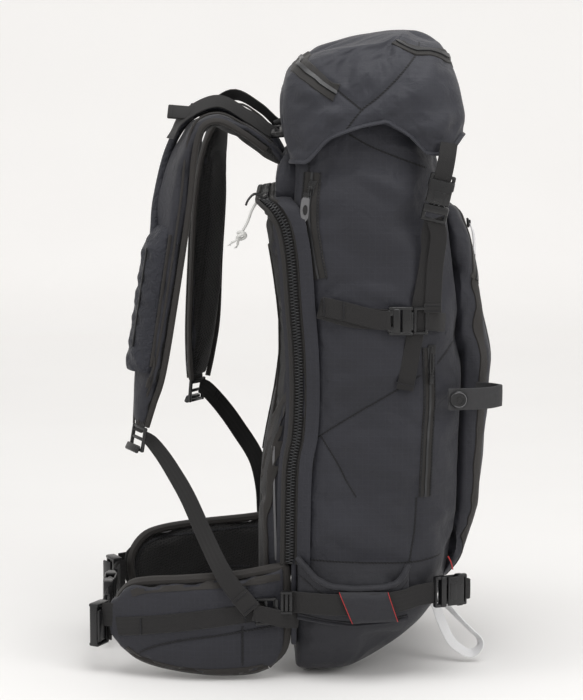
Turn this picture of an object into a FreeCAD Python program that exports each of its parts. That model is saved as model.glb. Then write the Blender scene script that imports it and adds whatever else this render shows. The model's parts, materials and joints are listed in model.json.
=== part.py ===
import FreeCAD, Part
import math
import os

import Sketcher
from FreeCAD import Placement, Rotation, Vector

# Avalanche airbag backpack, in millimetres.
# Origin: centre of the flat base that the bag stands on.
# +Z up, +X away from the wearer's back, -Y the wearer's left side.

doc = FreeCAD.newDocument("AvalancheBackpack")
sheet = doc.addObject("Spreadsheet::Sheet", "Sizes")

SIZES = [
    ("bag_height", 548, "bag body, base to top edge"),
    ("bag_width", 280, "bag body across the wearer's back"),
    ("bag_depth", 164, "bag body, back to front, without the tool pocket"),
    ("bag_back", -30, "where the bag's flat back lies, from the origin"),
    ("base_length", 56, "flat of the base that the bag stands on, back to front"),
    ("cloth", 2.5, "thickness of the bag and lid cloth with its lining"),
    ("gap", 0.5, "clearance between soft parts that lie on each other"),
    ("play", 1.0, "clearance between hard parts that come apart"),
    ("pocket_rise", 28, "how far the tool pocket stands out of the bag"),
    ("pocket_margin", 36, "tool pocket, how far its sides are in from the bag's"),
    ("lid_rise", 84, "lid crown above the bag's top edge"),
    ("lid_skirt", 63, "how far the lid reaches down the bag at the front"),
    ("lid_overhang", 33, "lid in front of the bag's top edge"),
    ("collar_rise", 34, "storm collar above the bag's top edge"),
    ("panel_margin", 22, "back panel, how far its sides are in from the bag's"),
    ("panel_top", 462, "back panel's top edge"),
    ("panel_foot", 26, "back panel's bottom edge"),
    ("webbing_width", 20, "side, lid and lower webbing"),
    ("webbing_thick", 1.6, "all webbing"),
    ("belt_width", 38, "waist belt webbing"),
    ("buckle_wall", 5, "buckle beyond the webbing on each side"),
    ("buckle_thick", 11, "side release buckle, front to back"),
    ("strap_width", 62, "shoulder pad across"),
    ("strap_thick", 14, "shoulder pad foam"),
    ("hip_thick", 14, "hip pad foam"),
    ("hip_reach", 176, "hip pad from its hinge to its tip"),
    ("hip_rise", 112, "hip pad's top edge at the pack"),
    ("cylinder_radius", 28, "gas cylinder"),
    ("cylinder_length", 190, "gas cylinder, straight part"),
    ("pin_radius", 4, "valve pin"),
    ("pin_play", 0.05, "running clearance round the valve pin"),
    ("valve_height", 34, "valve body"),
    ("handle_length", 104, "trigger handle"),
    ("handle_width", 22, "trigger handle across"),
    ("handle_thick", 9, "trigger handle front to back"),
    ("sleeve_wall", 1.5, "cloth of the trigger sleeve and side pockets"),
    ("side_pocket_length", 106, "stretch side pocket, back to front"),
    ("side_pocket_height", 58, "stretch side pocket"),
    ("side_pocket_depth", 12, "stretch side pocket, how far it stands out"),
    ("side_strap_height", 356, "compression strap above the base"),
    ("lower_strap_height", 72, "ski strap above the base"),
    ("zip_width", 14, "zip tape with its teeth"),
    ("zip_thick", 1.6, "zip tape"),
    ("chain_radius", 2.6, "coarse chain of the back panel zip"),
    ("cable_radius", 2.2, "trigger cable housing"),
    ("ski_loop_width", 13, "ski loop webbing"),
    ("front_loop_height", 23, "carry loop webbing"),
    ("badge_radius", 10, "round stud on the carry loop"),
]


class Dim:
    """A size with its spreadsheet expression, so that both stay together."""

    def __init__(self, value, text):
        self.value, self.text = float(value), text

    def __float__(self):
        return self.value

    def join(self, other, sign, value):
        text = other.text if isinstance(other, Dim) else repr(float(other))
        return Dim(value, f"({self.text} {sign} {text})")

    def __add__(self, other):
        return self.join(other, "+", self.value + float(other))

    def __sub__(self, other):
        return self.join(other, "-", self.value - float(other))

    def __mul__(self, other):
        return self.join(other, "*", self.value * float(other))

    def __truediv__(self, other):
        return self.join(other, "/", self.value / float(other))

    def __radd__(self, other):
        return Dim(float(other), repr(float(other))) + self

    def __rsub__(self, other):
        return Dim(float(other), repr(float(other))) - self

    def __rmul__(self, other):
        return self * other

    def __neg__(self):
        return self * -1


for row, (alias, value, note) in enumerate(SIZES, 1):
    sheet.set(f"A{row}", note)
    sheet.set(f"B{row}", str(value))
    sheet.setAlias(f"B{row}", alias)
doc.recompute()

D = {alias: Dim(value, f"Sizes.{alias}") for alias, value, _ in SIZES}
S = {alias: float(value) for alias, value, _ in SIZES}
HALF = S["bag_width"] / 2
SIDES = {"left": -1, "right": 1}
nodes = []


# ---------------------------------------------------------------- helpers
def bind(obj, prop, size):
    """Sets a property, tied to the sheet where the size comes from it."""
    if isinstance(size, Dim):
        obj.setExpression(prop, size.text)
    else:
        obj.setExpression(prop, repr(float(size)))


def node(obj, label):
    """Marks a finished sub-part."""
    obj.Label = label
    nodes.append(obj)
    return obj


def feature(label, shape):
    """A sub-part whose shape comes from Part's own functions."""
    obj = doc.addObject("Part::Feature", label)
    obj.Shape = shape
    return node(obj, label)


def tie_corner(obj, corner):
    """Ties the corner that a primitive starts from; at the origin it stays free to be placed."""
    for axis, size in zip("xyz", corner):
        if float(size):
            bind(obj, f"Placement.Base.{axis}", size)


def box(name, length, width, height, corner=(0, 0, 0)):
    obj = doc.addObject("Part::Box", name)
    for prop, size in zip(("Length", "Width", "Height"), (length, width, height)):
        bind(obj, prop, size)
    tie_corner(obj, corner)
    return obj


def cylinder(name, radius, height, corner=(0, 0, 0)):
    obj = doc.addObject("Part::Cylinder", name)
    bind(obj, "Radius", radius)
    bind(obj, "Height", height)
    tie_corner(obj, corner)
    return obj


def cut(name, base, tools):
    for i, tool in enumerate(tools):
        obj = doc.addObject("Part::Cut", f"{name}_cut{i}")
        obj.Base, obj.Tool = base, tool
        base = obj
    return base


def fuse(name, parts):
    obj = doc.addObject("Part::MultiFuse", name)
    obj.Shapes = parts
    return obj


def group(name, parts):
    obj = doc.addObject("Part::Compound", name)
    obj.Links = parts
    return obj


def rounded(obj, radius, direction):
    """Fillets the edges of obj that run along a direction."""
    doc.recompute()
    picked = []
    for i, edge in enumerate(obj.Shape.Edges, 1):
        if edge.Curve.TypeId == "Part::GeomLine":
            along = edge.tangentAt(edge.FirstParameter)
            if abs(abs(along.dot(direction)) - 1) < 1e-6:
                picked.append((i, radius, radius))
    result = doc.addObject("Part::Fillet", obj.Name + "_round")
    result.Base = obj
    result.Edges = picked
    return result


def axes(x, y, z):
    return Rotation(x, y, z, "ZXY")


def put(obj, pos, rotation=None):
    obj.Placement = Placement(Vector(*pos), rotation or Rotation())
    return obj


def spline(points):
    curve = Part.BSplineCurve()
    curve.interpolate(points)
    return curve.toShape()


def loop_of(corners, radii, lift):
    """A closed wire through corners, each rounded by its radius; lift makes each point 3D."""
    count, edges, last = len(corners), [], None
    tangents = []
    for i, corner in enumerate(corners):
        p = Vector(*corner, 0)
        before = (Vector(*corners[i - 1], 0) - p).normalize()
        after = (Vector(*corners[(i + 1) % count], 0) - p).normalize()
        half = before.getAngle(after) / 2
        reach = radii[i] / math.tan(half)
        centre = p + (before + after).normalize() * (radii[i] / math.sin(half))
        middle = centre + (p - centre).normalize() * radii[i]
        tangents.append((p + before * reach, middle, p + after * reach))
    for i, (start, middle, end) in enumerate(tangents):
        if last is not None:
            edges.append(Part.LineSegment(lift(last), lift(start)).toShape())
        edges.append(Part.Arc(lift(start), lift(middle), lift(end)).toShape())
        last = end
    edges.append(Part.LineSegment(lift(last), lift(tangents[0][0])).toShape())
    return Part.Wire(edges)


def rounded_path(points, radii):
    """An open wire through 3D points, with a tangent arc at each inner one."""
    edges, last = [], points[0]
    for i in range(1, len(points) - 1):
        p = points[i]
        before = (points[i - 1] - p).normalize()
        after = (points[i + 1] - p).normalize()
        half = before.getAngle(after) / 2
        radius = radii[i - 1]
        reach = radius / math.tan(half)
        centre = p + (before + after).normalize() * (radius / math.sin(half))
        middle = centre + (p - centre).normalize() * radius
        start, end = p + before * reach, p + after * reach
        edges.append(Part.LineSegment(last, start).toShape())
        edges.append(Part.Arc(start, middle, end).toShape())
        last = end
    edges.append(Part.LineSegment(last, points[-1]).toShape())
    return Part.Wire(edges)


def bend_radii(points):
    """The largest arc that each inner point has room for."""
    radii = []
    for i in range(1, len(points) - 1):
        before, after = points[i] - points[i - 1], points[i + 1] - points[i]
        turn = before.getAngle(after)
        run = min(before.Length, after.Length)
        radii.append(0.45 * run / math.tan(turn / 2))
    return radii


def tube(points, radius, radii=None):
    """A round tube along runs joined by tangent arcs."""
    radii = radii or bend_radii(points)
    path = rounded_path(points, radii)
    start = (points[1] - points[0]).normalize()
    ring = Part.Wire(Part.Circle(points[0], start, radius).toShape())
    solid = path.makePipeShell([ring], True, True)
    expected = math.pi * radius**2 * path.Length
    if abs(solid.Volume / expected - 1) > 0.02:
        raise ValueError(f"tube volume {solid.Volume:.0f}, expected {expected:.0f}")
    print("tube", round(path.Length), "mm, radii", [round(r) for r in radii])
    return solid


def stacked(sections, ruled=True):
    """A solid through wires that lie one above another."""
    return Part.makeLoft(sections, True, ruled)


def prism(points, axis, low, high):
    """A solid whose outline is straight between 2D points, drawn across one axis."""
    places = {
        "x": lambda a, b, c: Vector(c, a, b),
        "y": lambda a, b, c: Vector(a, c, b),
        "z": lambda a, b, c: Vector(a, b, c),
    }
    place = places[axis]
    wire = Part.makePolygon([place(a, b, low) for a, b in points + points[:1]])
    step = place(0, 0, high) - place(0, 0, low)
    return Part.Face(wire).extrude(step)


def ribbon(points, inside, outside, lift, across):
    """A strip of webbing: an open curve through 2D points, thickened sideways, then drawn out."""
    flat = [Vector(a, b, 0) for a, b in points]
    base = spline(flat).Curve
    count = 4 * len(points)
    low, high = base.FirstParameter, base.LastParameter
    sides = ([], [])
    for i in range(count + 1):
        at = low + (high - low) * i / count
        p, t = base.value(at), base.tangent(at)[0]
        normal = Vector(-t.y, t.x, 0)
        sides[0].append(lift(p + normal * inside))
        sides[1].append(lift(p + normal * outside))
    first, second = spline(sides[0]), spline(sides[1])
    ends = [
        Part.LineSegment(sides[0][-1], sides[1][-1]).toShape(),
        Part.LineSegment(sides[1][0], sides[0][0]).toShape(),
    ]
    face = Part.Face(Part.Wire(Part.__sortEdges__([first, ends[0], second, ends[1]])))
    return face.extrude(across)


def strip_3d(points, width_dirs, width, thick):
    """Flat webbing through 3D points; width_dirs gives its across direction at each."""
    rings = []
    for i, p in enumerate(points):
        ahead = points[min(i + 1, len(points) - 1)] - points[max(i - 1, 0)]
        t = ahead.normalize()
        u = width_dirs[i] - t * width_dirs[i].dot(t)
        u.normalize()
        n = t.cross(u)
        corners = [
            p + u * (a * width / 2) + n * (b * thick / 2)
            for a, b in ((-1, -1), (1, -1), (1, 1), (-1, 1), (-1, -1))
        ]
        rings.append(Part.makePolygon(corners))
    return stacked(rings)


# ---------------------------------------------------------------- bag body
BACK, DEPTH, HEIGHT = S["bag_back"], S["bag_depth"], S["bag_height"]
# Rows: share of the height, back edge in front of the flat back, front edge as a share
# of the depth, half width as a share of the full half width.
BAG_SHAPE = [
    (0.000, 2, None, 0.88),
    (0.085, 0, 0.75, 0.99),
    (0.130, 0, 0.87, 1.00),
    (0.205, 0, 0.94, 1.00),
    (0.300, 0, 0.975, 1.00),
    (0.560, 0, 1.00, 1.00),
    (0.670, 0, 0.97, 1.00),
    (0.790, 0, 0.92, 1.00),
    (0.865, 0, 0.88, 0.99),
    (0.905, 1, 0.86, 0.94),
    (1.000, 3, 0.80, 0.88),
]


def bag_at(share):
    """Back, front and half width of the bag at a share of its height."""
    for low, high in zip(BAG_SHAPE, BAG_SHAPE[1:]):
        if low[0] <= share <= high[0]:
            mix = (share - low[0]) / (high[0] - low[0])
            break
    values = []
    for row in (low, high):
        back = BACK + row[1]
        front = back + S["base_length"] if row[2] is None else BACK + DEPTH * row[2]
        values.append((back, front, HALF * row[3]))
    return [a + (b - a) * mix for a, b in zip(*values)]


def front_at(z):
    return bag_at(z / HEIGHT)[1]


def half_at(z):
    return bag_at(z / HEIGHT)[2]


def bag_section(share, inset, z):
    back, front, half = bag_at(share)
    radii = [25 - inset, 25 - inset, 35 - inset, 35 - inset]
    if share == 0:
        radii = [14 - inset] * 4
    corners = [
        (back + inset, half - inset),
        (back + inset, -half + inset),
        (front - inset, -half + inset),
        (front - inset, half - inset),
    ]
    return loop_of(corners, radii, lambda p: Vector(p.x, p.y, z))


def bag_solid(inset, floor, above):
    wires = [bag_section(0, inset, floor)]
    wires += [bag_section(row[0], inset, row[0] * HEIGHT) for row in BAG_SHAPE[1:]]
    if above:
        wires.append(bag_section(1.0, inset, HEIGHT + above))
    return stacked(wires)


CLOTH, GAP = S["cloth"], S["gap"]
feature("bag_shell", bag_solid(0, 0, 0).cut(bag_solid(CLOTH, CLOTH, 5)))

# The storm collar stands inside the bag's top edge.
collar_low = HEIGHT * 0.985
collar_top = HEIGHT + S["collar_rise"]


def collar_block(inset, low, high):
    wires = [bag_section(1.0, inset, z) for z in (low, high)]
    return stacked(wires)


collar_inset = CLOTH + GAP
feature(
    "storm_collar",
    collar_block(collar_inset, collar_low, collar_top).cut(
        collar_block(collar_inset + S["sleeve_wall"], collar_low - 5, collar_top + 5)
    ),
)

# The avalanche tool pocket lies on the front of the bag.
POCKET_SHAPE = [
    (0.142, 0.14, 0.90),
    (0.205, 0.38, 0.96),
    (0.300, 0.70, 1.00),
    (0.420, 0.95, 1.00),
    (0.560, 1.00, 1.00),
    (0.670, 0.86, 0.98),
    (0.790, 0.66, 0.94),
    (0.850, 0.45, 0.86),
]


def pocket_reach(share):
    for low, high in zip(POCKET_SHAPE, POCKET_SHAPE[1:]):
        if low[0] <= share <= high[0]:
            mix = (share - low[0]) / (high[0] - low[0])
            return low[1] + (high[1] - low[1]) * mix
    return 0


def pocket_front(z):
    return front_at(z) + GAP + S["pocket_rise"] * pocket_reach(z / HEIGHT)


pocket_sections = []
for share, reach, width in POCKET_SHAPE:
    z = share * HEIGHT
    back, front = front_at(z) + GAP, pocket_front(z)
    half = (HALF - S["pocket_margin"]) * width
    slope = 0.45 * (front - back)
    corners = [
        (back, -half),
        (back + slope, -half),
        (front, -half + 2 * slope),
        (front, half - 2 * slope),
        (back + slope, half),
        (back, half),
        (back, -half),
    ]
    pocket_sections.append(Part.makePolygon([Vector(x, y, z) for x, y in corners]))
feature("front_pocket", stacked(pocket_sections))

# ---------------------------------------------------------------- lid
LID_BACK = BACK - 3
lid_hinge_x, lid_hinge_z = LID_BACK + 2, HEIGHT - 28
lid_front = BACK + DEPTH * 0.80 + S["lid_overhang"]
lid_low = HEIGHT - S["lid_skirt"]
lid_crown = HEIGHT + S["lid_rise"]
# share of the height from the skirt to the crown: back, front and half width
LID_SHAPE = [
    (0.00, LID_BACK, lid_front - 3, HALF + 1.5),
    (0.27, LID_BACK, lid_front, HALF + 1.5),
    (0.52, LID_BACK, lid_front - 4, HALF - 1),
    (0.80, LID_BACK + 1, lid_front - 18, HALF - 12),
    (0.95, LID_BACK + 26, lid_front - 33, HALF - 32),
    (1.00, LID_BACK + 58, lid_front - 48, HALF - 55),
]
LID_RADII = [(25, 35), (25, 35), (25, 35), (25, 35), (22, 28), (18, 22)]


def lid_block(inset, low_shift, crown_drop):
    wires = []
    for (share, back, front, half), (rear, fore) in zip(LID_SHAPE, LID_RADII):
        z = lid_low + (lid_crown - crown_drop - lid_low) * share
        z += low_shift if share == 0 else 0
        corners = [
            (back + inset, half - inset),
            (back + inset, -half + inset),
            (front - inset, -half + inset),
            (front - inset, half - inset),
        ]
        radii = [rear - inset, rear - inset, fore - inset, fore - inset]
        wires.append(loop_of(corners, radii, lambda p, z=z: Vector(p.x, p.y, z)))
    return stacked(wires)


arch = [
    (LID_BACK - 30, lid_low - 20),
    (LID_BACK - 30, HEIGHT + 5),
    (LID_BACK + 25, HEIGHT + 5),
    (LID_BACK + 25, HEIGHT - 45),
    (LID_BACK + 58, HEIGHT - 28),
    (LID_BACK + 98, HEIGHT - 12),
    (LID_BACK + 128, HEIGHT - 28),
    (LID_BACK + 147, HEIGHT - 42),
    (LID_BACK + 147, lid_low - 20),
]
lid = lid_block(0, 0, 0).cut(lid_block(CLOTH, -5, CLOTH + 1))
feature("lid_shell", lid.cut(prism(arch, "y", -HALF - 20, HALF + 20)))

# ---------------------------------------------------------------- back panel and its zip
panel_low, panel_top = S["panel_foot"], S["panel_top"]
panel_rear = BACK - GAP
panel_face = [
    (panel_rear - 14, panel_low),
    (panel_rear - 26, panel_low + 30),
    (panel_rear - 30, panel_low + 95),
    (panel_rear - 29, panel_low + 150),
    (panel_rear - 14, panel_low + 235),
    (panel_rear - 9, panel_low + 305),
    (panel_rear - 15, panel_low + 375),
    (panel_rear - 25, panel_top - 8),
]
face_edge = spline([Vector(x, 0, z) for x, z in panel_face])
top_left = Vector(*[panel_face[-1][0], 0, panel_face[-1][1]])
top_round = Part.Arc(
    top_left,
    Vector(panel_rear - 19, 0, panel_top - 1),
    Vector(panel_rear - 12, 0, panel_top),
).toShape()
top_edge = Part.LineSegment(
    Vector(panel_rear - 12, 0, panel_top), Vector(panel_rear, 0, panel_top)
).toShape()
rear_edge = Part.LineSegment(
    Vector(panel_rear, 0, panel_top), Vector(panel_rear, 0, panel_low)
).toShape()
foot_edge = Part.LineSegment(
    Vector(panel_rear, 0, panel_low), Vector(panel_rear - 14, 0, panel_low)
).toShape()
panel_wire = Part.Wire([face_edge, top_round, top_edge, rear_edge, foot_edge])
panel_half = HALF - S["panel_margin"]
panel_slab = Part.Face(panel_wire).extrude(Vector(0, 2 * panel_half, 0))
panel_slab.translate(Vector(0, -panel_half, 0))
outline = loop_of(
    [
        (-panel_half, panel_low),
        (panel_half, panel_low),
        (panel_half - 6, panel_top),
        (-panel_half + 6, panel_top),
    ],
    [30, 30, 42, 42],
    lambda p: Vector(panel_rear - 40, p.x, p.y),
)
panel_mask = Part.Face(outline).extrude(Vector(60, 0, 0))
feature("back_panel", panel_slab.common(panel_mask))

zip_side_x = BACK - 4
zip_side_y = panel_half + 13
zip_top = Vector(panel_rear - 27, panel_half + 7, panel_top + 8)
chain_points = [
    Vector(zip_side_x, -zip_side_y, 125),
    Vector(zip_side_x, -zip_side_y, panel_top - 47),
    Vector(zip_top.x, -zip_top.y, zip_top.z),
    Vector(zip_top.x, zip_top.y, zip_top.z),
    Vector(zip_side_x, zip_side_y, panel_top - 47),
    Vector(zip_side_x, zip_side_y, 125),
]
feature("back_zip", tube(chain_points, S["chain_radius"], [45, 14, 14, 45]))


def slider_body(name, length, width, height, bore):
    """A zip slider: a rounded block with a slot along its length."""
    body = box(name + "_block", length, width, height, (-length / 2, -width / 2, 0))
    slot = box(name + "_slot", length + 2, bore, bore, (-length / 2 - 1, -bore / 2, -0.01))
    return cut(name, rounded(body, 1.5, Vector(0, 0, 1)), [slot])


corner_slider = slider_body("back_zip_slider", 15.0, 12.0, 9.0, 2 * D["chain_radius"] + 1.2)
put(
    corner_slider,
    (zip_top.x, -zip_top.y + 20, zip_top.z - S["chain_radius"] - 0.6),
    Rotation(Vector(0, 0, 1), 90),
)
node(corner_slider, "back_zip_slider")

# ---------------------------------------------------------------- frame and airbag system, inside
inside_back = BACK + CLOTH + GAP
sheet_body = doc.addObject("PartDesign::Body", "frame_sheet")


def origin_plane(body, role):
    return next(f for f in body.Origin.OriginFeatures if f.Role == role)


def rectangle(sketch, left, right, low, high):
    """A fully constrained rectangle; each side is tied to the sheet."""
    x0, x1, y0, y1 = (float(v) for v in (left, right, low, high))
    corners = [Vector(x0, y0, 0), Vector(x1, y0, 0), Vector(x1, y1, 0), Vector(x0, y1, 0)]
    first = sketch.GeometryCount
    for i in range(4):
        sketch.addGeometry(Part.LineSegment(corners[i], corners[(i + 1) % 4]), False)
    for i in range(4):
        ahead = first + (i + 1) % 4
        sketch.addConstraint(Sketcher.Constraint("Coincident", first + i, 2, ahead, 1))
    for i in (0, 2):
        sketch.addConstraint(Sketcher.Constraint("Horizontal", first + i))
        sketch.addConstraint(Sketcher.Constraint("Vertical", first + i + 1))
    for kind, edge, size in (
        ("DistanceX", first, left),
        ("DistanceX", first + 1, right),
        ("DistanceY", first, low),
        ("DistanceY", first + 2, high),
    ):
        index = sketch.addConstraint(
            Sketcher.Constraint(kind, -1, 1, edge, 1, float(size))
        )
        if isinstance(size, Dim):
            sketch.setExpression(f"Constraints[{index}]", size.text)


def padded_sketch(body, role, rectangles, length):
    """Sketch rectangles on an origin plane and pad them."""
    sketch = body.newObject("Sketcher::SketchObject", body.Name + "_sketch")
    sketch.AttachmentSupport = (origin_plane(body, role), [""])
    sketch.MapMode = "FlatFace"
    for sides in rectangles:
        rectangle(sketch, *sides)
    pad = body.newObject("PartDesign::Pad", body.Name + "_pad")
    pad.Profile = sketch
    bind(pad, "Length", length)
    doc.recompute()
    return pad


def soften(body, feature_done, radius, direction):
    """Fillets the edges of a body's last feature that run along a direction."""
    names = []
    for i, edge in enumerate(feature_done.Shape.Edges, 1):
        if edge.Curve.TypeId == "Part::GeomLine":
            along = edge.tangentAt(edge.FirstParameter)
            if abs(abs(along.dot(direction)) - 1) < 1e-6:
                names.append(f"Edge{i}")
    fillet = body.newObject("PartDesign::Fillet", body.Name + "_fillet")
    fillet.Base = (feature_done, names)
    fillet.Radius = radius
    doc.recompute()
    return fillet


# A plastic sheet stiffens the bag's back; windows keep it light.
sheet_low, sheet_high = 0.1 * D["bag_height"], D["bag_height"] * 0.84
sheet_half = D["bag_width"] / 2 - 34
window = D["bag_width"] * 0.13
windows = [
    (side * window - 14, side * window + 14, sheet_low + low, sheet_low + low + 56)
    for side in (-1, 1)
    for low in (60, 150, 240)
]
sheet_pad = padded_sketch(
    sheet_body,
    "YZ_Plane",
    [(-1 * sheet_half, sheet_half, sheet_low, sheet_high)] + windows,
    1.5,
)
soften(sheet_body, sheet_pad, 8, Vector(1, 0, 0))
put(sheet_body, (inside_back, 0, 0))
node(sheet_body, "frame_sheet")

stays = []
for side, sign in SIDES.items():
    bar = box(f"stay_{side}", 3.0, 12.0, sheet_high - sheet_low - 12, (0, 0, 0))
    bar = rounded(bar, 2.5, Vector(1, 0, 0))
    stays.append(put(bar, (inside_back + 1.8, sign * 72 - 6, float(sheet_low) + 6)))
node(group("frame_stays", stays), "frame_stays")

bottle_x = inside_back + S["cylinder_radius"] + 12
bottle_y = 55.0
bottle_z = 0.2 * HEIGHT
body = doc.addObject("PartDesign::Body", "gas_cylinder")
profile = body.newObject("Sketcher::SketchObject", "cylinder_profile")
profile.AttachmentSupport = (origin_plane(body, "XZ_Plane"), [""])
profile.MapMode = "FlatFace"
shoulder = S["cylinder_radius"] * 0.55
outline_points = [
    (0, 0),
    (S["cylinder_radius"] - 6, 0),
    (S["cylinder_radius"], 6),
    (S["cylinder_radius"], S["cylinder_length"]),
    (shoulder - 3, S["cylinder_length"] + shoulder),
    (shoulder - 3, S["cylinder_length"] + shoulder + 8),
    (0, S["cylinder_length"] + shoulder + 8),
]
for a, b in zip(outline_points, outline_points[1:] + outline_points[:1]):
    profile.addGeometry(Part.LineSegment(Vector(*a, 0), Vector(*b, 0)), False)
for i in range(len(outline_points)):
    ahead = (i + 1) % len(outline_points)
    profile.addConstraint(Sketcher.Constraint("Coincident", i, 2, ahead, 1))
for i, (x, y) in enumerate(outline_points):
    for kind, value in (("DistanceX", x), ("DistanceY", y)):
        profile.addConstraint(Sketcher.Constraint(kind, -1, 1, i, 1, float(value)))
turned = body.newObject("PartDesign::Revolution", "cylinder_revolution")
turned.Profile = profile
turned.ReferenceAxis = (profile, ["V_Axis"])
turned.Angle = 360
doc.recompute()
put(body, (bottle_x, bottle_y, bottle_z))
node(body, "gas_cylinder")

bottle_top = bottle_z + S["cylinder_length"] + shoulder + 8
valve_z = bottle_top + 0.2
valve_core = cylinder("valve_core", 17.0, D["valve_height"])
valve_arm = box("valve_arm", 46.0, 18.0, 14.0, (0, -9, 8))
valve_bore = cylinder(
    "valve_bore", D["pin_radius"] + D["pin_play"], 22.0, (0, 0, D["valve_height"] - 20)
)
valve = cut("valve_body", fuse("valve_block", [valve_core, valve_arm]), [valve_bore])
node(put(valve, (bottle_x, bottle_y, valve_z)), "valve_body")
pin_shaft = cylinder("pin_shaft", D["pin_radius"], 24.0)
pin_head = cylinder("pin_head", D["pin_radius"] + 2.5, 3.0, (0, 0, 24))
pin_z = valve_z + S["valve_height"] - 19
node(put(fuse("valve_pin", [pin_shaft, pin_head]), (bottle_x, bottle_y, pin_z)), "valve_pin")

balloon = box("airbag_block", 44.0, D["bag_width"] * 0.66, 88.0)
balloon = rounded(balloon, 14, Vector(0, 1, 0))
balloon_z = HEIGHT * 0.77
put(balloon, (inside_back + 7, -0.33 * S["bag_width"], balloon_z))
node(balloon, "folded_airbag")

# The housing runs up in front of the frame sheet, from the valve to the bag's top.
cable_x = inside_back + 4.4
cable_points = [
    Vector(bottle_x, bottle_y - 22, pin_z + 16),
    Vector(bottle_x, bottle_y - 60, pin_z + 16),
    Vector(cable_x + 6, bottle_y - 100, pin_z + 26),
    Vector(cable_x, bottle_y - 106, (pin_z + balloon_z) / 2 + 14),
    Vector(cable_x, bottle_y - 106, HEIGHT - 50),
]
feature("cable_housing", tube(cable_points, S["cable_radius"]))


# ---------------------------------------------------------------- buckles
def flat_buckle(label, length, width, thick, slots):
    """A flat loop of plastic, padded from a sketch: its long way is X, with slots across."""
    loop = doc.addObject("PartDesign::Body", label)
    rectangles = [(-1 * length / 2, length / 2, -1 * width / 2, width / 2)] + slots
    done = padded_sketch(loop, "XY_Plane", rectangles, thick)
    soften(loop, done, 1.2, Vector(0, 0, 1))
    return loop


def ladder_lock(label, webbing, length):
    """Two slots with a bar between them."""
    length, half = Dim(length, repr(float(length))), webbing / 2 + 1
    slots = [
        (-1 * length / 2 + 3, -1 * length / 2 + 8, -1 * half, half),
        (length / 2 - 9, length / 2 - 3, -1 * half, half),
    ]
    return flat_buckle(label, length, webbing + 2 * D["buckle_wall"], 4.5, slots)


def buckle_socket(name, webbing, thick, room, length=34.0, depth=22.0):
    """Female half: mouth at -X, webbing slot at its other end, side windows for the prongs."""
    width = webbing + 2 * D["buckle_wall"]
    shell = box(name + "_shell", length, width, thick, (0, -1 * width / 2, -1 * thick / 2))
    shell = rounded(shell, 3, Vector(0, 0, 1))
    mouth = box(
        name + "_mouth", depth + 1, webbing + 4, room, (-1, -1 * webbing / 2 - 2, -1 * room / 2)
    )
    windows_at = box(
        name + "_windows", 9.0, width + 2, room, (depth - 12, -1 * width / 2 - 1, -1 * room / 2)
    )
    slot = box(
        name + "_slot",
        4.0,
        webbing + 1,
        thick + 2,
        (length - 7, -1 * webbing / 2 - 0.5, -1 * thick / 2 - 1),
    )
    return cut(name, shell, [mouth, windows_at, slot])


def buckle_prongs(name, webbing, thick, reach=15.0, blade=4.0):
    """Male half: base with a webbing slot, two prongs and a centre guide that reach to +X."""
    width = webbing + 2 * D["buckle_wall"]
    base = box(name + "_base", 18.0, width, thick, (-19, -1 * width / 2, -1 * thick / 2))
    base = rounded(base, 3, Vector(0, 0, 1))
    slot = box(
        name + "_slot",
        4.0,
        webbing + 1,
        thick + 2,
        (-15, -1 * webbing / 2 - 0.5, -1 * thick / 2 - 1),
    )
    arms = [
        box(name + "_prong_a", reach + 2, 4.0, blade, (-2, webbing / 2 - 4.5, -1 * blade / 2)),
        box(name + "_prong_b", reach + 2, 4.0, blade, (-2, -1 * webbing / 2 + 0.5, -1 * blade / 2)),
        box(name + "_guide", reach - 2, 3.0, blade, (-2, -1.5, -1 * blade / 2)),
    ]
    return fuse(name, [cut(name + "_plate", base, [slot])] + arms)


# ---------------------------------------------------------------- lid straps and buckles, on both sides
WEB, THICK = S["webbing_width"], S["webbing_thick"]
side_face = HALF + GAP + 1.5
lid_buckle_x = LID_BACK + 147
lid_buckle_z = HEIGHT - 76
buckle_y = side_face + S["buckle_thick"] / 2 + 0.5
# The buckles lie along the arc that they leave on as the lid turns about its hinge.
arm = Vector(lid_buckle_x - lid_hinge_x, 0, lid_buckle_z - lid_hinge_z).normalize()
lift_out = Vector(-arm.z, 0, arm.x)
lid_turn = axes(lift_out, arm, lift_out.cross(arm))
males, females, lid_straps = [], [], []
for side, sign in SIDES.items():
    male = buckle_prongs(f"lid_male_{side}", D["webbing_width"], D["buckle_thick"])
    males.append(put(male, (lid_buckle_x, sign * buckle_y, lid_buckle_z), lid_turn))
    female = buckle_socket(f"lid_female_{side}", D["webbing_width"], D["buckle_thick"], 7.5)
    females.append(put(female, (lid_buckle_x, sign * buckle_y, lid_buckle_z), lid_turn))
    points = [
        Vector(lid_buckle_x, sign * (side_face + THICK / 2), lid_buckle_z) - lift_out * 21,
        Vector(lid_buckle_x - 38, sign * (side_face + THICK / 2), HEIGHT * 0.53),
    ]
    across = [Vector(1, 0, 0.2)] * 2
    lid_straps.append(strip_3d(points, across, WEB, THICK))
node(group("lid_buckle_males", males), "lid_buckle_males")
node(group("lid_buckle_females", females), "lid_buckle_females")
feature("lid_straps", Part.makeCompound(lid_straps))

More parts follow.
